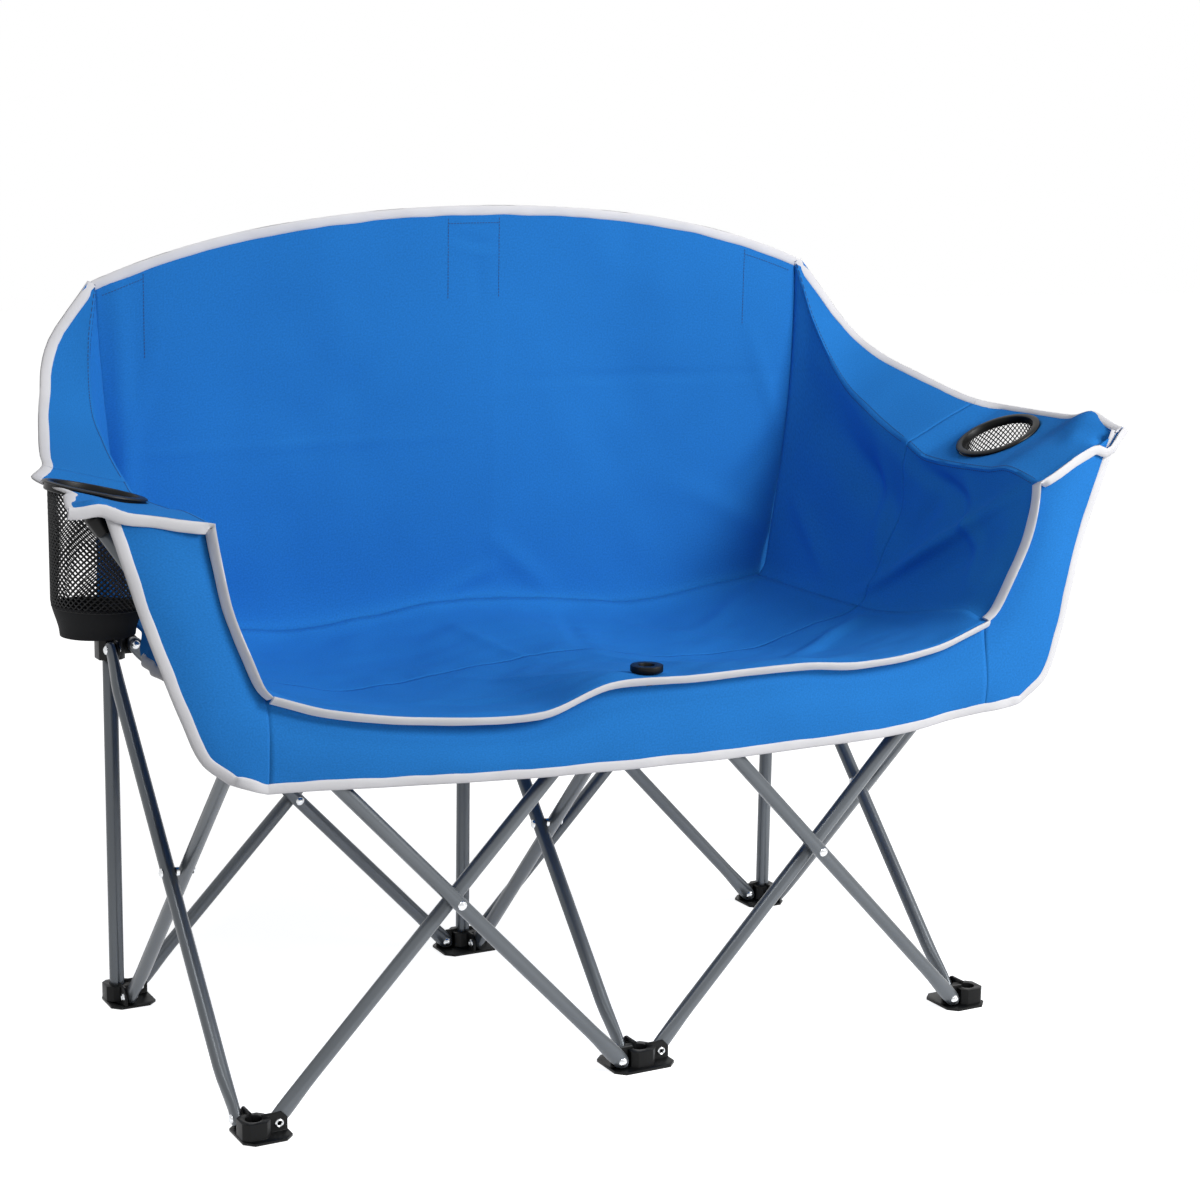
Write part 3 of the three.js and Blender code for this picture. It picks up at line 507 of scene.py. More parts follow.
# Creases pressed by packing: from x and z, to x and z, width and depth in
# the middle; the share of the depth left at their ends.
BACK_CREASES = [
    (0.036, 0.900, 0.036, 0.510, 0.004, -0.0018),
    (0.046, 0.797, 0.500, 0.795, 0.004, 0.0018),
    (-0.480, 0.716, -0.010, 0.724, 0.004, -0.0018),
    (-0.020, 0.985, 0.030, 0.975, 0.006, 0.0022),
    (0.010, 0.960, 0.012, 0.900, 0.006, 0.0020),
    (-0.040, 0.890, -0.300, 0.700, 0.020, 0.0016),
    (0.330, 0.640, 0.500, 0.560, 0.018, -0.0034),
    (-0.030, 0.978, 0.036, 0.968, 0.004, -0.0024),
    (0.036, 0.540, -0.060, 0.500, 0.010, -0.0036),
    (0.036, 0.580, 0.130, 0.500, 0.014, -0.0036),
    (-0.430, 0.880, -0.500, 0.640, 0.012, -0.0034),
    (-0.487, 0.925, -0.478, 0.560, 0.015, -0.0080),
    (0.440, 0.860, 0.500, 0.700, 0.012, -0.0030),
    (0.500, 0.720, 0.400, 0.600, 0.014, 0.0030),
]
CREASE_ENDS = 0.35

# Plain weave of 600-denier yarn: real yarns lie 0.5 mm apart, drawn 1.2 mm
# apart so that they show; slubs and a faint mottle keep it from looking flat.
YARN_PITCH = 0.0012
WEAVE_SCALE = 2 * math.pi / (20 * YARN_PITCH)


def woven(name, light, dark, roughness):
    """Cloth of two close dyes, with warp, weft and slubs on the piece's own UVs."""
    material, tree, shader, place = plain_material(name, light, roughness)
    shader.inputs["Specular IOR Level"].default_value = 0.2
    yarns = []
    for way in "XY":
        settings = {"Scale": WEAVE_SCALE, "bands_direction": way, "Distortion": 0.6}
        yarn = add_node(tree, "ShaderNodeTexWave", settings, Vector=place["UV"])
        yarns.append(yarn.outputs["Fac"])
    weave = add_node(tree, "ShaderNodeMath", {"operation": "MULTIPLY"}, *yarns)
    slub = speckle(tree, place, 420.0, 4.0, space="UV")
    dye = mixed(tree, speckle(tree, place, 6.0, 3.0), dark, light)
    limits = {"From Min": 0.3, "From Max": 0.7, "To Min": 0.72, "To Max": 1.12}
    speck = add_node(tree, "ShaderNodeMapRange", limits, Value=slub)
    settings = {"data_type": "RGBA", "blend_type": "MULTIPLY", 0: 0.5}
    fleck = add_node(tree, "ShaderNodeMix", settings)
    tree.links.new(dye, fleck.inputs[6])
    tree.links.new(speck.outputs[0], fleck.inputs[7])
    tree.links.new(fleck.outputs[2], shader.inputs["Base Color"])
    relief = add_node(tree, "ShaderNodeMath", {"operation": "ADD"}, weave.outputs[0], slub)
    emboss(tree, shader, relief.outputs[0], 0.35, 0.0005)
    return material


oxford = woven("woven_polyester", CLOTH_HEX, CLOTH_DEEP_HEX, 0.9)

# Binding: grosgrain polyester tape, uneven by about 1.5 mm along it and a
# little soiled by handling. Thread: dull dyed polyester.
bound_tape, tree, shader, place = plain_material("grosgrain_tape", TAPE_HEX, 0.8)
emboss(tree, shader, speckle(tree, place, 650.0, 2.0), 0.4, 0.0005)
washed = mixed(tree, speckle(tree, place, 30.0, 4.0), TAPE_SOILED_HEX, TAPE_CLEAN_HEX)
tree.links.new(washed, shader.inputs["Base Color"])
thread, tree, shader, place = plain_material("polyester_thread", THREAD_HEX, 0.7)
emboss(tree, shader, speckle(tree, place, 1500.0, 2.0), 0.3, 0.0003)


def ease(t):
    t = min(max(t, 0), 1)
    return t * t * (3 - 2 * t)


def swell(t):
    """From 0 at 0 up to 1 in the middle and back to 0 at 1."""
    return math.sin(math.pi * min(max(t, 0), 1))


def wavy(*spot):
    return noise.noise(Vector(spot))


def bent_grid(columns, rows, surface, size):
    """A grid bent to surface(u, v), with UVs in metres."""
    shape = bmesh.new()
    bmesh.ops.create_grid(shape, x_segments=columns, y_segments=rows, size=0.5)
    uv = shape.loops.layers.uv.new("cloth")
    for face in shape.faces:
        for loop in face.loops:
            loop[uv].uv = ((loop.vert.co.x + 0.5) * size[0], (loop.vert.co.y + 0.5) * size[1])
    for vert in shape.verts:
        vert.co = surface(vert.co.x + 0.5, vert.co.y + 0.5)
    return shape


def thickened(piece):
    wall = piece.modifiers.new("cloth", "SOLIDIFY")
    wall.thickness = CLOTH
    wall.offset = 0
    return piece


def cloth_sheet(name, columns, rows, surface, size, trim=None):
    """A sheet of the blue cloth."""
    shape = bent_grid(columns, rows, surface, size)
    if trim:
        trim(shape)
    return thickened(finished(name, shape, [oxford], crisp=70))


def tape(shape, edge, steps):
    """Tape folded over an edge; edge(t, inward) is a point of the cloth that far in from it."""
    stations = []
    for step in range(steps + 1):
        t = step / steps
        rim = edge(t, 0)
        along = (edge(min(t + 0.5 / steps, 1), 0) - edge(max(t - 0.5 / steps, 0), 0)).normalized()
        across = edge(t, TAPE_WIDTH) - rim
        across = (across - along * across.dot(along)).normalized()
        uneven = wavy(*(rim * 30)) * TAPE_UNEVEN
        centre = rim + across * (TAPE_WIDTH / 2 - TAPE_OVER + uneven)
        stations.append(station(centre, along, across, TAPE_WIDTH / 2 + uneven, TAPE_THICK / 2))
    swept(shape, stations, segments=12)


def bound(name, *edges):
    """One piece of tape for each edge, which comes with its number of steps."""
    shape = bmesh.new()
    for edge, steps in edges:
        tape(shape, edge, steps)
    return finished(name, shape, [bound_tape])


def stitches(shape, seam, aside):
    """Thread along a seam; seam(t, aside) is a point of the cloth that far to its side."""
    marks = [seam(i / SEAM_MARKS, aside) for i in range(SEAM_MARKS + 1)]
    length = sum((after - before).length for before, after in zip(marks, marks[1:]))
    count = round(length / STITCH_PITCH)
    for number in range(count):
        start = seam(number / count, aside)
        along = seam((number + STITCH_LONG / STITCH_PITCH) / count, aside) - start
        across = (seam(number / count, aside + 0.001) - start).normalized()
        deep = along.cross(across).normalized()
        turn = Matrix((along, across * STITCH_WIDE, deep * (CLOTH + 2 * STITCH_PROUD))).transposed()
        place = Matrix.Translation(start + along / 2) @ turn.to_4x4()
        bmesh.ops.create_cube(shape, size=1, matrix=place)


def crease(a, b, folds):
    """How far the cloth leaves its plane at (a, b) where folds run across it."""
    total = 0
    for a0, b0, a1, b1, width, depth in folds:
        run = Vector((a1 - a0, b1 - b0))
        t = min(max(Vector((a - a0, b - b0)).dot(run) / run.length_squared, 0), 1)
        away = Vector((a - a0 - run.x * t, b - b0 - run.y * t)).length
        full = CREASE_ENDS + (1 - CREASE_ENDS) * swell(t)
        total += depth * math.exp(-((away / width) ** 2)) * full
    return total


# The seat's form, which the backrest's lower edge follows.
SEAT_TOP = 0.492
SAG_BAY = 0.022
SAG_DEEP = 0.024
# Near its sides the sag is less: by what share, from which x and over what width.
FIRM_SIDES = (0.65, 0.3, 0.181)
ROW_SHIFT = 0.006
ROW = 0.252
SEAT_FRONT = -0.273
SEAT_REAR = 0.2407
CREASE_MIDDLE = 0.481
CREASE_REAR = 0.468
CREASE_FRONT = 0.484
CREASE_ROUND = 0.014
CREASE_RISE = 0.011
CREASE_START = 0.05
# The sling runs into its front edge over this depth.
EDGE_BLEND = 0.25
EDGE_BLEND_SHIFT = 0.02
# The seat's front edge: x and height, as it hangs between the hubs.
SEAT_EDGE = [
    (-0.484, 0.513), (-0.416, 0.491), (-0.296, 0.471), (-0.156, 0.464), (-0.065, 0.490),
    (0.044, 0.489), (0.200, 0.490), (0.291, 0.484), (0.400, 0.494), (0.484, 0.521),
]


def crease_x(y):
    """The side crease between seat and wall, at a depth."""
    end = CREASE_REAR if y > ROW_SHIFT else CREASE_FRONT
    far = SEAT_REAR if y > ROW_SHIFT else SEAT_FRONT
    return CREASE_MIDDLE + (end - CREASE_MIDDLE) * (y - ROW_SHIFT) / (far - ROW_SHIFT)


def smooth_row(table, place):
    """A table's values at a place between its rows, running smoothly through each row."""
    return [smooth_line(table, place, column) for column in range(1, len(table[0]))]


def smooth_line(table, place, column=1):
    """One column's value at a place between a table's rows."""
    step = 1 if table[-1][0] > table[0][0] else -1
    i = 0
    while i < len(table) - 2 and (place - table[i + 1][0]) * step > 0:
        i += 1
    before, near = table[max(i - 1, 0)], table[i]
    far, after = table[i + 1], table[min(i + 2, len(table) - 1)]
    span = far[0] - near[0]
    t = min(max((place - near[0]) / span, 0), 1)
    start = (far[column] - before[column]) / (far[0] - before[0]) * span
    end = (after[column] - near[column]) / (after[0] - near[0]) * span
    return (
        near[column] * (2 * t**3 - 3 * t**2 + 1)
        + far[column] * (3 * t**2 - 2 * t**3)
        + start * (t**3 - 2 * t**2 + t)
        + end * (t**3 - t**2)
    )


def sling_height(x, y):
    """The seat's height as it sags between the hubs, less near its sides."""
    bay = math.sin(math.pi * x / COLUMN) ** 2
    share, start, reach = FIRM_SIDES
    firm = 1 - share * ease((abs(x) - start) / reach)
    deep = max(math.cos(math.pi * (y - ROW_SHIFT) / (2 * ROW)), 0) * firm
    return SEAT_TOP - SAG_BAY * bay - SAG_DEEP * deep


def seat_height(x, y):
    """The sling, eased into its front edge over the front half."""
    edge = smooth_line(SEAT_EDGE, x) - sling_height(x, SEAT_FRONT)
    round_side = math.exp(-max(crease_x(y) - abs(x), 0) / CREASE_ROUND)
    round_rear = math.exp(-max(SEAT_REAR - y, 0) / CREASE_ROUND)
    rounded = CREASE_RISE * max(round_side * ease((y - SEAT_FRONT) / CREASE_START), round_rear)
    drawn = edge * ease((ROW_SHIFT - EDGE_BLEND_SHIFT - y) / EDGE_BLEND)
    return sling_height(x, y) + drawn + rounded


def back_top(x):
    share = x / BACK_HALF
    arch = 1 - BACK_ARCH[0] * share**2 - BACK_ARCH[1] * share**4
    return BACK_CORNER + BACK_RISE * arch + BACK_SKEW * share


def foot_round(above, reach):
    """How far upright cloth stands off its plane where it rounds into the seat."""
    return FOOT_DEEP * (1 - math.exp(-above / FOOT_START)) * math.exp(-above / reach)


def back_plane(x, z):
    """On the backrest: bowed between the posts, slack, rounded into the seat, and creased."""
    bottom = seat_height(x, SEAT_REAR) - BACK_TUCK
    v = (z - bottom) / (back_top(x) - bottom)
    bay = math.sin(math.pi * min(abs(x), COLUMN) / COLUMN) ** 2
    bow = BACK_BOW * bay * swell(v)
    above = max(z - bottom, 0)
    slack = sum(wavy(x * wide, seed, z * high) * deep for wide, high, seed, deep in BACK_WAVES)
    slack *= bay * ease(above / SLACK_RISE)
    hollow = foot_round(above, BACK_ROUND_REACH) - FOOT_TUCK * math.exp(-above / FOOT_START)
    return Vector((x, BACK_Y + bow + slack + hollow + crease(x, z, BACK_CREASES), z))


def back_point(u, v):
    x = BACK_HALF * (2 * u - 1)
    bottom = seat_height(x, SEAT_REAR) - BACK_TUCK
    return back_plane(x, bottom + (back_top(x) - bottom) * v)


def arch_edge(t, inward):
    x = BACK_HALF * (2 * t - 1)
    return back_plane(x, back_top(x) - inward)


def up_back(x):
    """A seam up the backrest, beside a pocket's top."""
    low, high = (back_top(x) - drop for drop in POCKET_SEAM)
    return lambda t, aside: back_plane(x + aside, low + (high - low) * t)


def across_back(low, high):
    """A seam across a pocket, just under the backrest's top edge."""

    def seam(t, aside):
        x = low + (high - low) * t
        return back_plane(x, back_top(x) - TOP_SEAM_IN + aside)

    return seam


def sleeve(low_x, high_x, post_x, post_top):
    """A strip of cloth sewn down each side of a post, closed over its top."""

    def surface(u, v):
        x = low_x + (high_x - low_x) * u
        z = SLEEVE_LOW + (back_top(x) - SLEEVE_TOP_IN - SLEEVE_LOW) * v
        room = (post_x - low_x if x < post_x else high_x - post_x) - TUBE_R
        tight = 1 - ease((abs(x - post_x) - TUBE_R) / room)
        shut = 1 - ease((z - post_top) / SLEEVE_SHUT)
        flat = back_plane(x, z)
        flat.y += SLEEVE_LIFT + max(SLEEVE_DEEP - (flat.y - BACK_Y), 0) * tight * shut
        return flat

    return surface


def folds_with(piece, body):
    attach(piece, body)
    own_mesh(piece)


backrest = cloth_sheet("back_cloth", 130, 72, back_point, (2 * BACK_HALF, 0.53))
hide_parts("backrest")
arch_tape = bound("back_binding", (arch_edge, 110))
shape = bmesh.new()
sleeves = []
for number, pocket in enumerate(POCKETS):
    name = f"post_sleeve_{number}"
    sleeves.append(cloth_sheet(name, 28, 60, sleeve(*pocket), (0.09, 0.45)))
    for x in pocket[:2]:
        if abs(x) < COLUMN:
            stitches(shape, up_back(x), 0)
for low_x, high_x in TOP_SEAMS:
    stitches(shape, across_back(low_x, high_x), 0)
back_thread = finished("back_stitching", shape, [thread])
for piece in [backrest, arch_tape, back_thread] + sleeves:
    folds_with(piece, "root")
trim = [arch_tape, back_thread]
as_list(trim)

# Seat: a sling of the same cloth over the hubs, its front edge bound with
# tape; it drops in the middle when the frame is folded.
SEAT_SPLIT = 0.006
SEAT_CLEAR = 0.0004
LAP = 0.0008
# Slack: waves per metre in x and y, seed and depth.
SEAT_WAVES = ((9, 9, 0, 0.005), (23, 31, 4, 0.0018))
SEAT_FIRM_EDGE = 0.03
# How the front edge's tape lies back and down over the cloth, and its lift.
SEAT_TAPE_LIE = (0.6, 0.8)
SEAT_TAPE_LIFT = 0.002
# Puckers from x and y, to x and y, width and height.
SEAT_FOLDS = [
    (0.300, -0.110, 0.465, -0.030, 0.012, 0.0070),
    (0.280, -0.130, 0.160, -0.200, 0.010, -0.0030),
    (0.049, -0.030, 0.110, -0.180, 0.008, 0.0034),
    (-0.040, -0.225, -0.150, -0.020, 0.010, 0.0034),
    (-0.055, -0.225, -0.280, -0.090, 0.008, 0.0030),
    (-0.060, 0.190, -0.030, -0.020, 0.010, 0.0030),
    (0.130, 0.215, 0.060, 0.020, 0.012, -0.0030),
    (-0.300, -0.220, -0.440, -0.120, 0.012, 0.0036),
    (-0.160, -0.240, -0.240, -0.130, 0.009, 0.0028),
    (0.420, 0.200, 0.300, 0.120, 0.014, 0.0040),
    (0.200, 0.180, 0.330, 0.020, 0.012, 0.0030),
]


def seat_point(x, y):
    """On the seat, with its slack and puckers, which die out at its edges."""
    edge = ease((y - SEAT_FRONT) / SEAT_FIRM_EDGE)
    edge *= ease((crease_x(y) - abs(x)) / SEAT_FIRM_EDGE)
    slack = sum(wavy(x * wide, y * long, seed) * deep for wide, long, seed, deep in SEAT_WAVES)
    return Vector((x, y, seat_height(x, y) + (slack + crease(x, y, SEAT_FOLDS)) * edge))


def seat_half(front, rear):
    def surface(u, v):
        y = front + (rear - front) * v
        return seat_point((crease_x(y) - SEAT_CLEAR) * (2 * u - 1), y)

    return surface


def seat_edge(t, inward):
    back, down = SEAT_TAPE_LIE
    point = seat_point((CREASE_FRONT - SEAT_CLEAR) * (2 * t - 1), SEAT_FRONT + inward * back)
    return point + Vector((0, -TAPE_PROUD, SEAT_TAPE_LIFT - inward * down))


form = seat_half(SEAT_FRONT, SEAT_SPLIT)
seat_front = cloth_sheet("seat_cloth_front", 130, 42, form, (0.97, 0.28))
form = seat_half(SEAT_SPLIT - LAP, SEAT_REAR)
seat_rear = cloth_sheet("seat_cloth_rear", 130, 34, form, (0.95, 0.23))
seat_tape = bound("seat_binding", (seat_edge, 100))
bodies = ("seat_front", "seat_front", "seat_rear")
for piece, body in zip((seat_front, seat_tape, seat_rear), bodies):
    folds_with(piece, body)
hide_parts("seat_front")
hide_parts("seat_rear")
trim = [seat_tape]
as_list(trim)

# Sides: a broad sloping strip on top, which carries the cup holder, and a
# wall that drops from its double-stitched seam to the seat. The rear part
# runs up to the backrest's corner; the front part is the arm.
WALL_BULGE = {"l": 0.008, "r": 0.016}
WALL_ROUND_REACH = 0.05
WALL_SLACK = 0.010
WALL_FIRM_REAR = 0.05
STRIP_SLACK = 0.003
STRIP_WIDE = 0.12
WALL_HIGH = 0.22
SEAM_ASIDE = 0.004
SEAM_IN = 0.012
ARM_FRONT = -0.274
WING_REAR = 0.2410
# Where the upright's cap lifts the strip and its front edge is drawn down:
# x, y, reach and height.
STRIP_BUMPS = {
    "l": [(0.668, -0.262, 0.020, 0.011)],
    "r": [
        (0.672, -0.214, 0.026, 0.011),
        (0.667, -0.272, 0.014, -0.016),
        (0.640, -0.235, 0.014, 0.004),
    ],
}
# From rear to front: y, outer edge's x and z, inner seam's x and z.
SIDE_LINES = {
    "l": [
        (0.2392, 0.522, 0.935, 0.514, 0.930),
        (0.214, 0.580, 0.867, 0.530, 0.866),
        (0.160, 0.608, 0.803, 0.545, 0.789),
        (0.093, 0.629, 0.763, 0.550, 0.750),
        (0.046, 0.641, 0.748, 0.552, 0.730),
        (0.006, 0.650, 0.740, 0.553, 0.716),
        (-0.032, 0.673, 0.733, 0.555, 0.707),
        (-0.166, 0.673, 0.733, 0.555, 0.707),
        (-0.209, 0.688, 0.735, 0.554, 0.711),
        (-0.268, 0.703, 0.731, 0.547, 0.706),
    ],
    "r": [
        (0.2392, 0.522, 0.958, 0.514, 0.953),
        (0.214, 0.586, 0.869, 0.530, 0.872),
        (0.160, 0.612, 0.827, 0.545, 0.793),
        (0.093, 0.636, 0.801, 0.550, 0.753),
        (0.046, 0.653, 0.784, 0.552, 0.731),
        (0.006, 0.670, 0.772, 0.553, 0.716),
        (-0.032, 0.695, 0.766, 0.555, 0.700),
        (-0.166, 0.695, 0.766, 0.555, 0.700),
        (-0.209, 0.692, 0.770, 0.556, 0.706),
        (-0.268, 0.690, 0.762, 0.556, 0.695),
    ],
}
SIGN = {"l": -1, "r": 1}
# Folds in the walls: from y and z, to y and z, width and depth outward.
WALL_FOLDS = {
    "l": [
        (0.200, 0.840, 0.090, 0.690, 0.020, 0.010),
        (-0.250, 0.690, -0.060, 0.560, 0.014, -0.008),
        (0.120, 0.640, 0.020, 0.540, 0.018, 0.008),
    ],
    "r": [
        (0.200, 0.810, -0.030, 0.668, 0.018, -0.012),
        (0.170, 0.725, 0.000, 0.605, 0.028, 0.022),
        (0.060, 0.700, 0.020, 0.560, 0.014, -0.009),
        (-0.262, 0.700, 0.060, 0.482, 0.011, -0.017),
        (-0.020, 0.690, -0.140, 0.650, 0.014, 0.016),
        (-0.120, 0.690, -0.200, 0.560, 0.012, -0.008),
        (-0.090, 0.680, -0.020, 0.560, 0.018, 0.010),
        (-0.210, 0.620, -0.080, 0.520, 0.020, 0.014),
        (0.215, 0.620, 0.090, 0.500, 0.014, -0.008),
        (-0.250, 0.580, -0.140, 0.500, 0.012, -0.006),
    ],
}


def strip_point(side, y, t):
    """On the top strip, from its outer edge at 0 to the seam at 1."""
    outer_x, outer_z, seam_x, seam_z = smooth_row(SIDE_LINES[side], y)
    x = outer_x + (seam_x - outer_x) * t
    z = outer_z + (seam_z - outer_z) * t
    for bump_x, bump_y, reach, height in STRIP_BUMPS[side]:
        z += height * math.exp(-(((x - bump_x) ** 2 + (y - bump_y) ** 2) / reach**2))
    slack = wavy(x * 14, y * 12, SIGN[side]) * STRIP_SLACK
    z += slack * swell(t)
    return Vector((SIGN[side] * x, y, z))


def wall_point(side, y, t):
    """On the wall, from the seam at 0 to the crease along the seat at 1."""
    seam_x, seam_z = smooth_row(SIDE_LINES[side], y)[2:]
    low_x = crease_x(y)
    low_z = seat_height(SIGN[side] * low_x, y)
    z = seam_z + (low_z - seam_z) * t
    free = swell(t)
    above = (z - low_z) if t < 1 else 0
    bulge = WALL_BULGE[side] * free**0.8 + foot_round(above, WALL_ROUND_REACH)
    slack = wavy(y * 9, z * 8, SIGN[side] * 3) * WALL_SLACK
    slack += crease(y, z, WALL_FOLDS[side])
    inner = ease((SEAT_REAR - y) / WALL_FIRM_REAR)
    x = seam_x + (low_x - seam_x) * t + bulge + slack * free**0.5 * inner
    return Vector((SIGN[side] * x, y, z))


# Shares of the sheet's rows, in twelfths so that the seam and the crease fall on a row.
STRIP_SHARE = 4 / 12
SKIRT_SHARE = 11 / 12
# The wall's hem, turned out below the seat: its least depth, how much more
# it has on each side, its way out and down, waves per metre and how far they
# turn it, and from which y, over what length, it grows and dies out.
SKIRT_LEAST = 0.004
SKIRT_DEEP = {"l": 0.030, "r": 0.014}
SKIRT_WAY = (0.55, -0.83)
SKIRT_WAVES = (26, 0.24)
SKIRT_SPAN = (-0.215, 0.06, 0.215, 0.05)
HEM_FRONT = -0.165
HEM_REAR = 0.175
# How the front binding lies for each metre in from its edge: along x on
# the wall, and backward on the strip and as much more on the wall. Then how
# fast it turns the corner, and how far it stands clear.
BINDING_LEAN = {"l": -0.8, "r": -0.25}
BINDING_BACK = (0.15, 0.75)
BINDING_TURN = 0.06
BINDING_CLEAR = Vector((0, -0.003, 0.001))


def skirt_point(side, y, t):
    """On the wall's turned-out hem, from the crease at 0 to its bound edge at 1."""
    front, grow, rear, fade = SKIRT_SPAN
    clear = ease((y - front) / grow) * ease((rear - y) / fade)
    often, wide = SKIRT_WAVES
    wave = wavy(y * often, SIGN[side], 0) * wide * clear
    out, down = SKIRT_WAY
    way = Vector((SIGN[side] * (out + wave), 0, down))
    return wall_point(side, y, 1) + way * (SKIRT_LEAST + SKIRT_DEEP[side] * clear) * t


def side_part(side, front, rear):
    def surface(u, v):
        y = rear + (front - rear) * u
        if v < STRIP_SHARE:
            return strip_point(side, y, v / STRIP_SHARE)
        if v < SKIRT_SHARE:
            return wall_point(side, y, (v - STRIP_SHARE) / (SKIRT_SHARE - STRIP_SHARE))
        return skirt_point(side, y, (v - SKIRT_SHARE) / (1 - SKIRT_SHARE))

    return surface


def outer_edge(side, front, rear):
    def edge(t, inward):
        y = rear + (front - rear) * t
        rim = strip_point(side, y, 0)
        return rim.lerp(strip_point(side, y, 1), inward / (strip_point(side, y, 1) - rim).length)

    return edge


def front_edge(side):
    """Across the strip's front from its outer corner, then down the wall's front."""

    def edge(t, inward):
        turn = ease((t - STRIP_SHARE) / BINDING_TURN + 0.5)
        y = ARM_FRONT + inward * (BINDING_BACK[0] + BINDING_BACK[1] * turn)
        if t < STRIP_SHARE:
            point = strip_point(side, y, t / STRIP_SHARE)
        else:
            point = wall_point(side, y, (t - STRIP_SHARE) / (1 - STRIP_SHARE))
        lean = Vector((BINDING_LEAN[side] * turn, 0, turn - 1)) * inward
        return point + lean + BINDING_CLEAR

    return edge


def seam_line(side, front, rear):
    def seam(t, aside):
        y = rear + (front - rear) * t
        if aside < 0:
            return strip_point(side, y, 1 + aside / STRIP_WIDE)
        return wall_point(side, y, aside / WALL_HIGH)

    return seam


def foot_edge(side, front, rear):
    """The bound edge of the wall's turned-out hem."""
    out, down = SKIRT_WAY

    def edge(t, inward):
        rim = skirt_point(side, rear + (front - rear) * t, 1)
        return rim - Vector((SIGN[side] * out, 0, down)) * inward

    return edge


# Each cup ring's place and its tilt in degrees.
CUP_RINGS = {"l": (-0.622, -0.099, 0.7219, 12.4), "r": (0.626, -0.099, 0.7336, 25.2)}
RING_HOLE = 0.0563
HOLE_REACH = 1.25
HOLE_DEEP = 0.03


def ring_place(side):
    x, y, z, tilt = CUP_RINGS[side]
    return Matrix.Translation((x, y, z)) @ Matrix.Rotation(-SIGN[side] * math.radians(tilt), 4, "Y")


def cup_hole(side):
    """Cuts the strip's round hole and draws its rim in to the ring."""

    def near(spot, reach):
        return spot.xy.length < RING_HOLE * reach and abs(spot.z) < HOLE_DEEP

    def trim(shape):
        place = ring_place(side)
        back = place.inverted()
        spots = {vert: back @ vert.co for vert in shape.verts}
        inside = [face for face in shape.faces if near(back @ face.calc_center_median(), 1)]
        bmesh.ops.delete(shape, geom=inside, context="FACES")
        for vert in shape.verts:
            spot = spots[vert]
            if vert.is_boundary and near(spot, HOLE_REACH):
                spot.xy = spot.xy.normalized() * RING_HOLE
                vert.co = place @ spot

    return trim


for side in SIGN:
    form = side_part(side, SEAT_SPLIT - LAP, WING_REAR)
    wing = cloth_sheet("wing_cloth_" + side, 56, 72, form, (0.25, 0.42))
    form = side_part(side, ARM_FRONT, SEAT_SPLIT)
    arm = cloth_sheet("arm_cloth_" + side, 72, 84, form, (0.28, 0.38), trim=cup_hole(side))
    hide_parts("wing_" + side)
    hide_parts("arm_" + side)
    for part, body, anchor_y, front, rear, cloth, tube, cut in (
        ("wing", "side_", REAR_ROW, SEAT_SPLIT, WING_REAR, wing, "tube_post_", 0.102),
        ("arm", "arm_", FRONT_ROW, ARM_FRONT, SEAT_SPLIT, arm, "tube_arm_upright_", 0.096),
    ):
        hem = foot_edge(side, max(front, HEM_FRONT), min(rear, HEM_REAR))
        edges = [(outer_edge(side, front, rear), 34), (hem, 40)]
        if part == "arm":
            edges.append((front_edge(side), 60))
        edging = bound(part + "_binding_" + side, *edges)
        shape = bmesh.new()
        for aside in (-SEAM_ASIDE, SEAM_ASIDE):
            stitches(shape, seam_line(side, front + SEAM_IN, rear), aside)
        sewing = finished(part + "_stitching_" + side, shape, [thread])
        for piece in (cloth, edging, sewing):
            folds_with(piece, body + side)
        hold, trim = [tube + side], [edging, sewing]
        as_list(hold)
        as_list(trim)

# Front apron: the same cloth hangs from the seat's front edge and runs up
# the fronts of both arms, with a curved, bound hem.
APRON_Y = -0.270
APRON_HALF = 0.488
# The middle panel's hem: x and height.
HEM = [
    (-0.488, 0.405), (-0.416, 0.402), (-0.295, 0.394), (-0.129, 0.386), (0.147, 0.382),
    (0.294, 0.384), (0.370, 0.388), (0.432, 0.396), (0.488, 0.402),
]
APRON_TOP_IN = 0.003
# How far its top rolls in under the seat's edge, and more at each dip.
APRON_ROLL = (0.008, 0.012)
APRON_DIPS = ((-0.20, 0.16, 1), (0.36, 0.1, 0.5))
APRON_BELLY = 0.004
APRON_SLACK = 0.004
PANEL_SLACK = 0.003
PANEL_HIGH = 0.2
PANEL_TURN = 0.12
PANEL_CORNER = 0.14
# From the hem up: share of the height, inner edge's x and z, outer edge's x and z.
APRON_SIDES = {
    "l": [
        (0.0, 0.4872, 0.405, 0.532, 0.421),
        (0.12, 0.4872, 0.440, 0.562, 0.447),
        (0.30, 0.4870, 0.505, 0.585, 0.497),
        (0.48, 0.5060, 0.560, 0.606, 0.552),
        (0.70, 0.5270, 0.625, 0.630, 0.620),
        (1.0, 0.5470, 0.703, 0.664, 0.726),
    ],
    "r": [
        (0.0, 0.4872, 0.402, 0.546, 0.408),
        (0.12, 0.4872, 0.436, 0.586, 0.438),
        (0.30, 0.4880, 0.510, 0.608, 0.496),
        (0.48, 0.5180, 0.560, 0.621, 0.552),
        (0.70, 0.5460, 0.625, 0.640, 0.627),
        (1.0, 0.5560, 0.692, 0.686, 0.755),
    ],
}


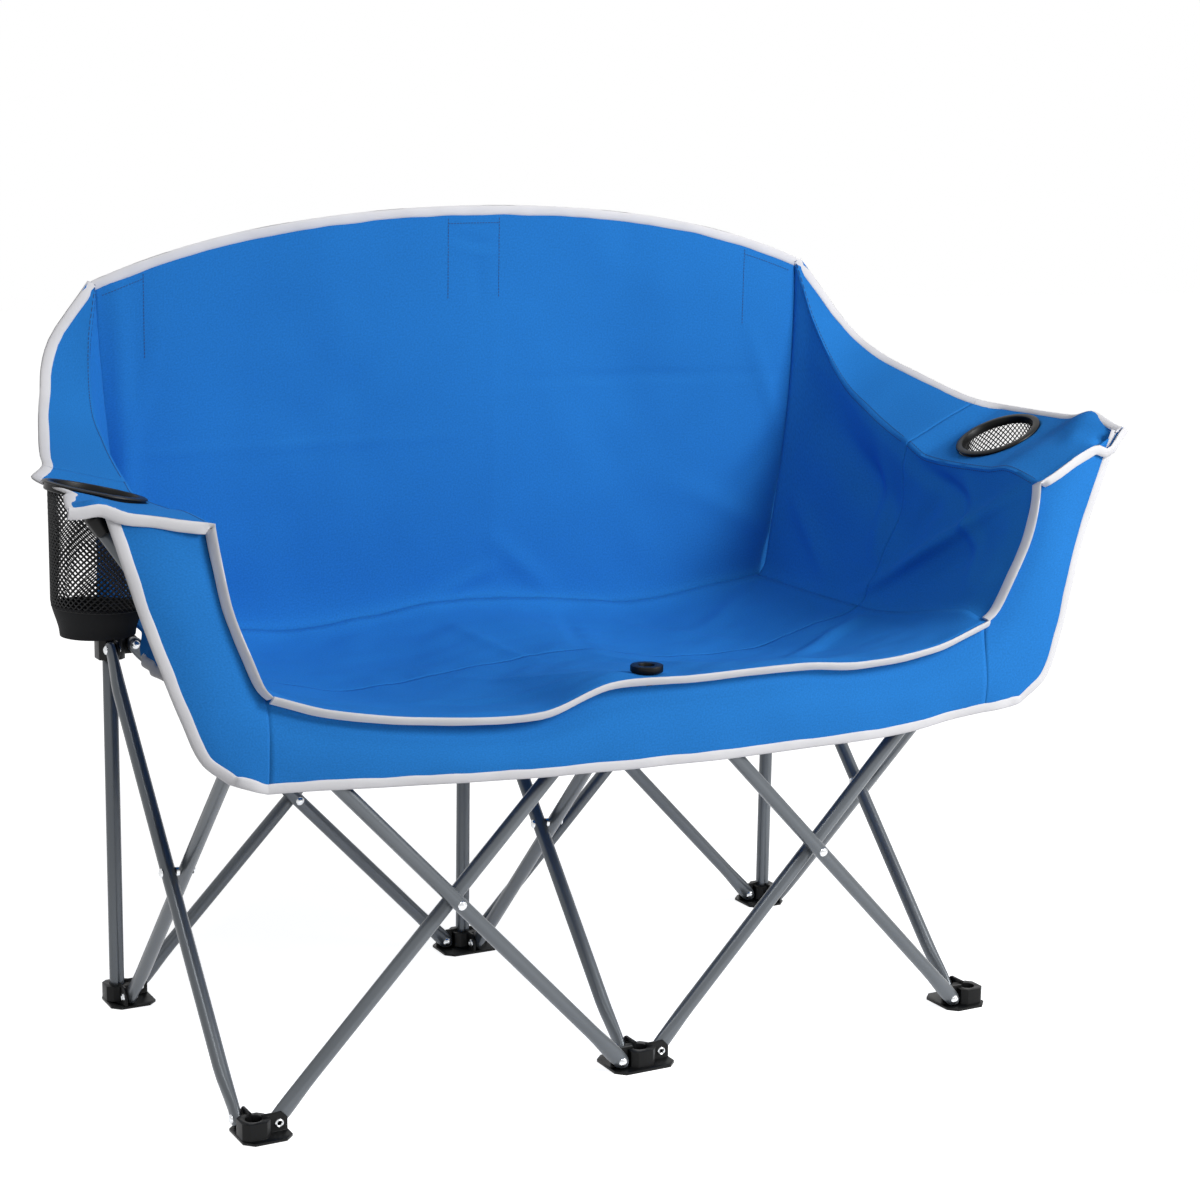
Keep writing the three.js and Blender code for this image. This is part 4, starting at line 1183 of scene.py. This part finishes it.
def apron_point(u, v):
    """On the middle panel, from the seat's edge at 0 to the hem at 1."""
    x = APRON_HALF * (2 * u - 1)
    top = seat_height(x, SEAT_FRONT) - APRON_TOP_IN
    hem = smooth_line(HEM, x)
    dip = sum(share * math.exp(-(((x - at) / wide) ** 2)) for at, wide, share in APRON_DIPS)
    roll = (APRON_ROLL[0] + APRON_ROLL[1] * dip) * (1 - v) ** 2.5
    belly = APRON_BELLY * swell(v)
    slack = wavy(x * 11, 0, v * 1.5) * APRON_SLACK * v
    return Vector((x, APRON_Y + roll - belly - slack, top + (hem - top) * v))


def apron_hem(t, inward):
    x = APRON_HALF * (2 * t - 1)
    height = seat_height(x, SEAT_FRONT) - smooth_line(HEM, x)
    return apron_point(t, 1 - inward / height)


def apron_side_point(side, u, v):
    """On an outer panel: u from its inner to its outer edge, v from the hem up."""
    inner_x, inner_z, outer_x, outer_z = smooth_row(APRON_SIDES[side], v)
    end = (1 + SIGN[side]) / 2
    top, hem = apron_point(end, 0), apron_point(end, 1)
    meets = apron_point(end, min(max((top.z - inner_z) / (top.z - hem.z), 0), 1))
    roll = (meets.y - APRON_Y) * max(1 - u, 0) ** 3
    belly = APRON_BELLY * swell(u)
    slack = wavy(u * 2, v * 4, SIGN[side] * 5) * PANEL_SLACK * u
    x = inner_x + (outer_x - inner_x) * u
    z = inner_z + (outer_z - inner_z) * u
    return Vector((SIGN[side] * x, APRON_Y + roll - belly - slack, z))


def outer_panel(side):
    return lambda u, v: apron_side_point(side, u, v)


def apron_outline(side):
    """Along the outer panel's hem, then up its outer edge."""

    def edge(t, inward):
        if t < PANEL_CORNER:
            return apron_side_point(side, t / PANEL_CORNER, inward / PANEL_HIGH)
        v = (t - PANEL_CORNER) / (1 - PANEL_CORNER)
        wide = (apron_side_point(side, 1, v) - apron_side_point(side, 0, v)).length
        turn = inward / PANEL_HIGH * max(1 - v / PANEL_TURN, 0)
        return apron_side_point(side, 1 - inward / wide, v + turn)

    return edge


apron = cloth_sheet("apron_cloth", 120, 20, apron_point, (0.98, 0.11))
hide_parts("apron_c")
hem_tape = bound("apron_binding", (apron_hem, 100))
for piece in (apron, hem_tape):
    folds_with(piece, "hub_fc")
hold, trim = ["hub_fc"], [hem_tape]
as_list(hold)
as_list(trim)
for side in SIGN:
    panel = cloth_sheet("apron_cloth_" + side, 24, 72, outer_panel(side), (0.1, 0.35))
    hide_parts("apron_" + side)
    edging = bound("apron_binding_" + side, (apron_outline(side), 64))
    for piece in (panel, edging):
        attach(piece, "arm_" + side)
    hold, trim = ["tube_arm_upright_" + side], [edging]
    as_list(hold)
    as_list(trim)

# Cup holders: a flanged polypropylene ring snapped into the strip's hole,
# with a knotted net bag below it and a gathered cloth bottom.
RING_PROFILE = [
    (0.0490, -0.0060), (0.0545, -0.0060), (0.0555, -0.0050), (0.0555, 0.0018), (0.0580, 0.0018),
    (0.0585, 0.0024), (0.0580, 0.0036), (0.0560, 0.0046), (0.0510, 0.0048), (0.0497, 0.0043),
    (0.0490, 0.0032), (0.0490, -0.0060),
]
BAG_R = 0.0500
BAG_FOOT_R = 0.0410
BAG_DEEP = 0.158
NET_SHARE = 0.80
BASE_LAP = 0.02
BASE_INSET = 0.006
BASE_DISH = 0.002
BAG_TOP_IN = 0.0055
BAG_WAVE = 0.025
NARROW_FROM = 0.75
UPRIGHT_FROM = 0.25
NET_CELLS = (46, 19)
CORD_THICK = 0.0024
CORD_HEX = "#0E0F11"
BAG_CLOTH_HEX = "#121316"
BAG_CLOTH_DEEP_HEX = "#0C0D0F"

net_cord, tree, shader, place = plain_material("knotted_nylon", CORD_HEX, 0.6)
emboss(tree, shader, speckle(tree, place, 1800.0, 2.0), 0.3, 0.0003)
bag_cloth = woven("woven_nylon_black", BAG_CLOTH_HEX, BAG_CLOTH_DEEP_HEX, 0.75)


def bag_point(side, angle, v):
    """On the bag, from the ring's underside at 0 to its flat bottom's rim at 1."""
    x, y, z, _ = CUP_RINGS[side]
    rim = Vector((BAG_R * math.cos(angle), BAG_R * math.sin(angle), -BAG_TOP_IN))
    top = ring_place(side) @ rim
    narrow = BAG_R + (BAG_FOOT_R - BAG_R) * ease((v - NARROW_FROM) / (1 - NARROW_FROM))
    slack = 1 + BAG_WAVE * math.sin(3 * angle + 1) * swell(v)
    radius = narrow * slack
    low = Vector((x + radius * math.cos(angle), y + radius * math.sin(angle), z - BAG_DEEP))
    x = top.x + (low.x - top.x) * ease(v / UPRIGHT_FROM)
    return Vector((x, low.y, top.z + (low.z - top.z) * v))


def bag_part(side, start, end):
    return lambda u, v: bag_point(side, 2 * math.pi * u, start + v * (end - start))


for side in SIGN:
    shape = bmesh.new()
    turned(shape, RING_PROFILE, ring_place(side), segments=72)
    stands_for(finished("cup_rim_" + side, shape, [moulded]), "cup_ring_" + side)

    shape = bent_grid(*NET_CELLS, bag_part(side, 0, NET_SHARE), (0.31, 0.11))
    bmesh.ops.remove_doubles(shape, verts=shape.verts, dist=1e-5)
    straight = [edge for edge in shape.edges if edge.is_manifold]
    bmesh.ops.poke(shape, faces=shape.faces)
    bmesh.ops.dissolve_edges(shape, edges=straight, use_verts=False)
    knots = {"use_replace": True, "use_boundary": True, "use_even_offset": False}
    bmesh.ops.wireframe(shape, faces=shape.faces, thickness=CORD_THICK, **knots)
    net = finished("cup_net_" + side, shape, [net_cord], crisp=80)
    stands_for(net, "cup_bag_" + side)

    shape = bent_grid(72, 16, bag_part(side, NET_SHARE - BASE_LAP, 1), (0.30, 0.05))
    bmesh.ops.remove_doubles(shape, verts=shape.verts, dist=1e-5)
    low = min(vert.co.z for vert in shape.verts) + 1e-4
    open_edges = [edge for edge in shape.edges if edge.is_boundary]
    rim = [edge for edge in open_edges if all(vert.co.z < low for vert in edge.verts)]
    bottom = bmesh.ops.contextual_create(shape, geom=rim)["faces"]
    bmesh.ops.inset_region(shape, faces=bottom, thickness=BASE_INSET, depth=BASE_DISH)
    base = thickened(finished("cup_base_" + side, shape, [bag_cloth], crisp=60))
    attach(base, "arm_" + side)
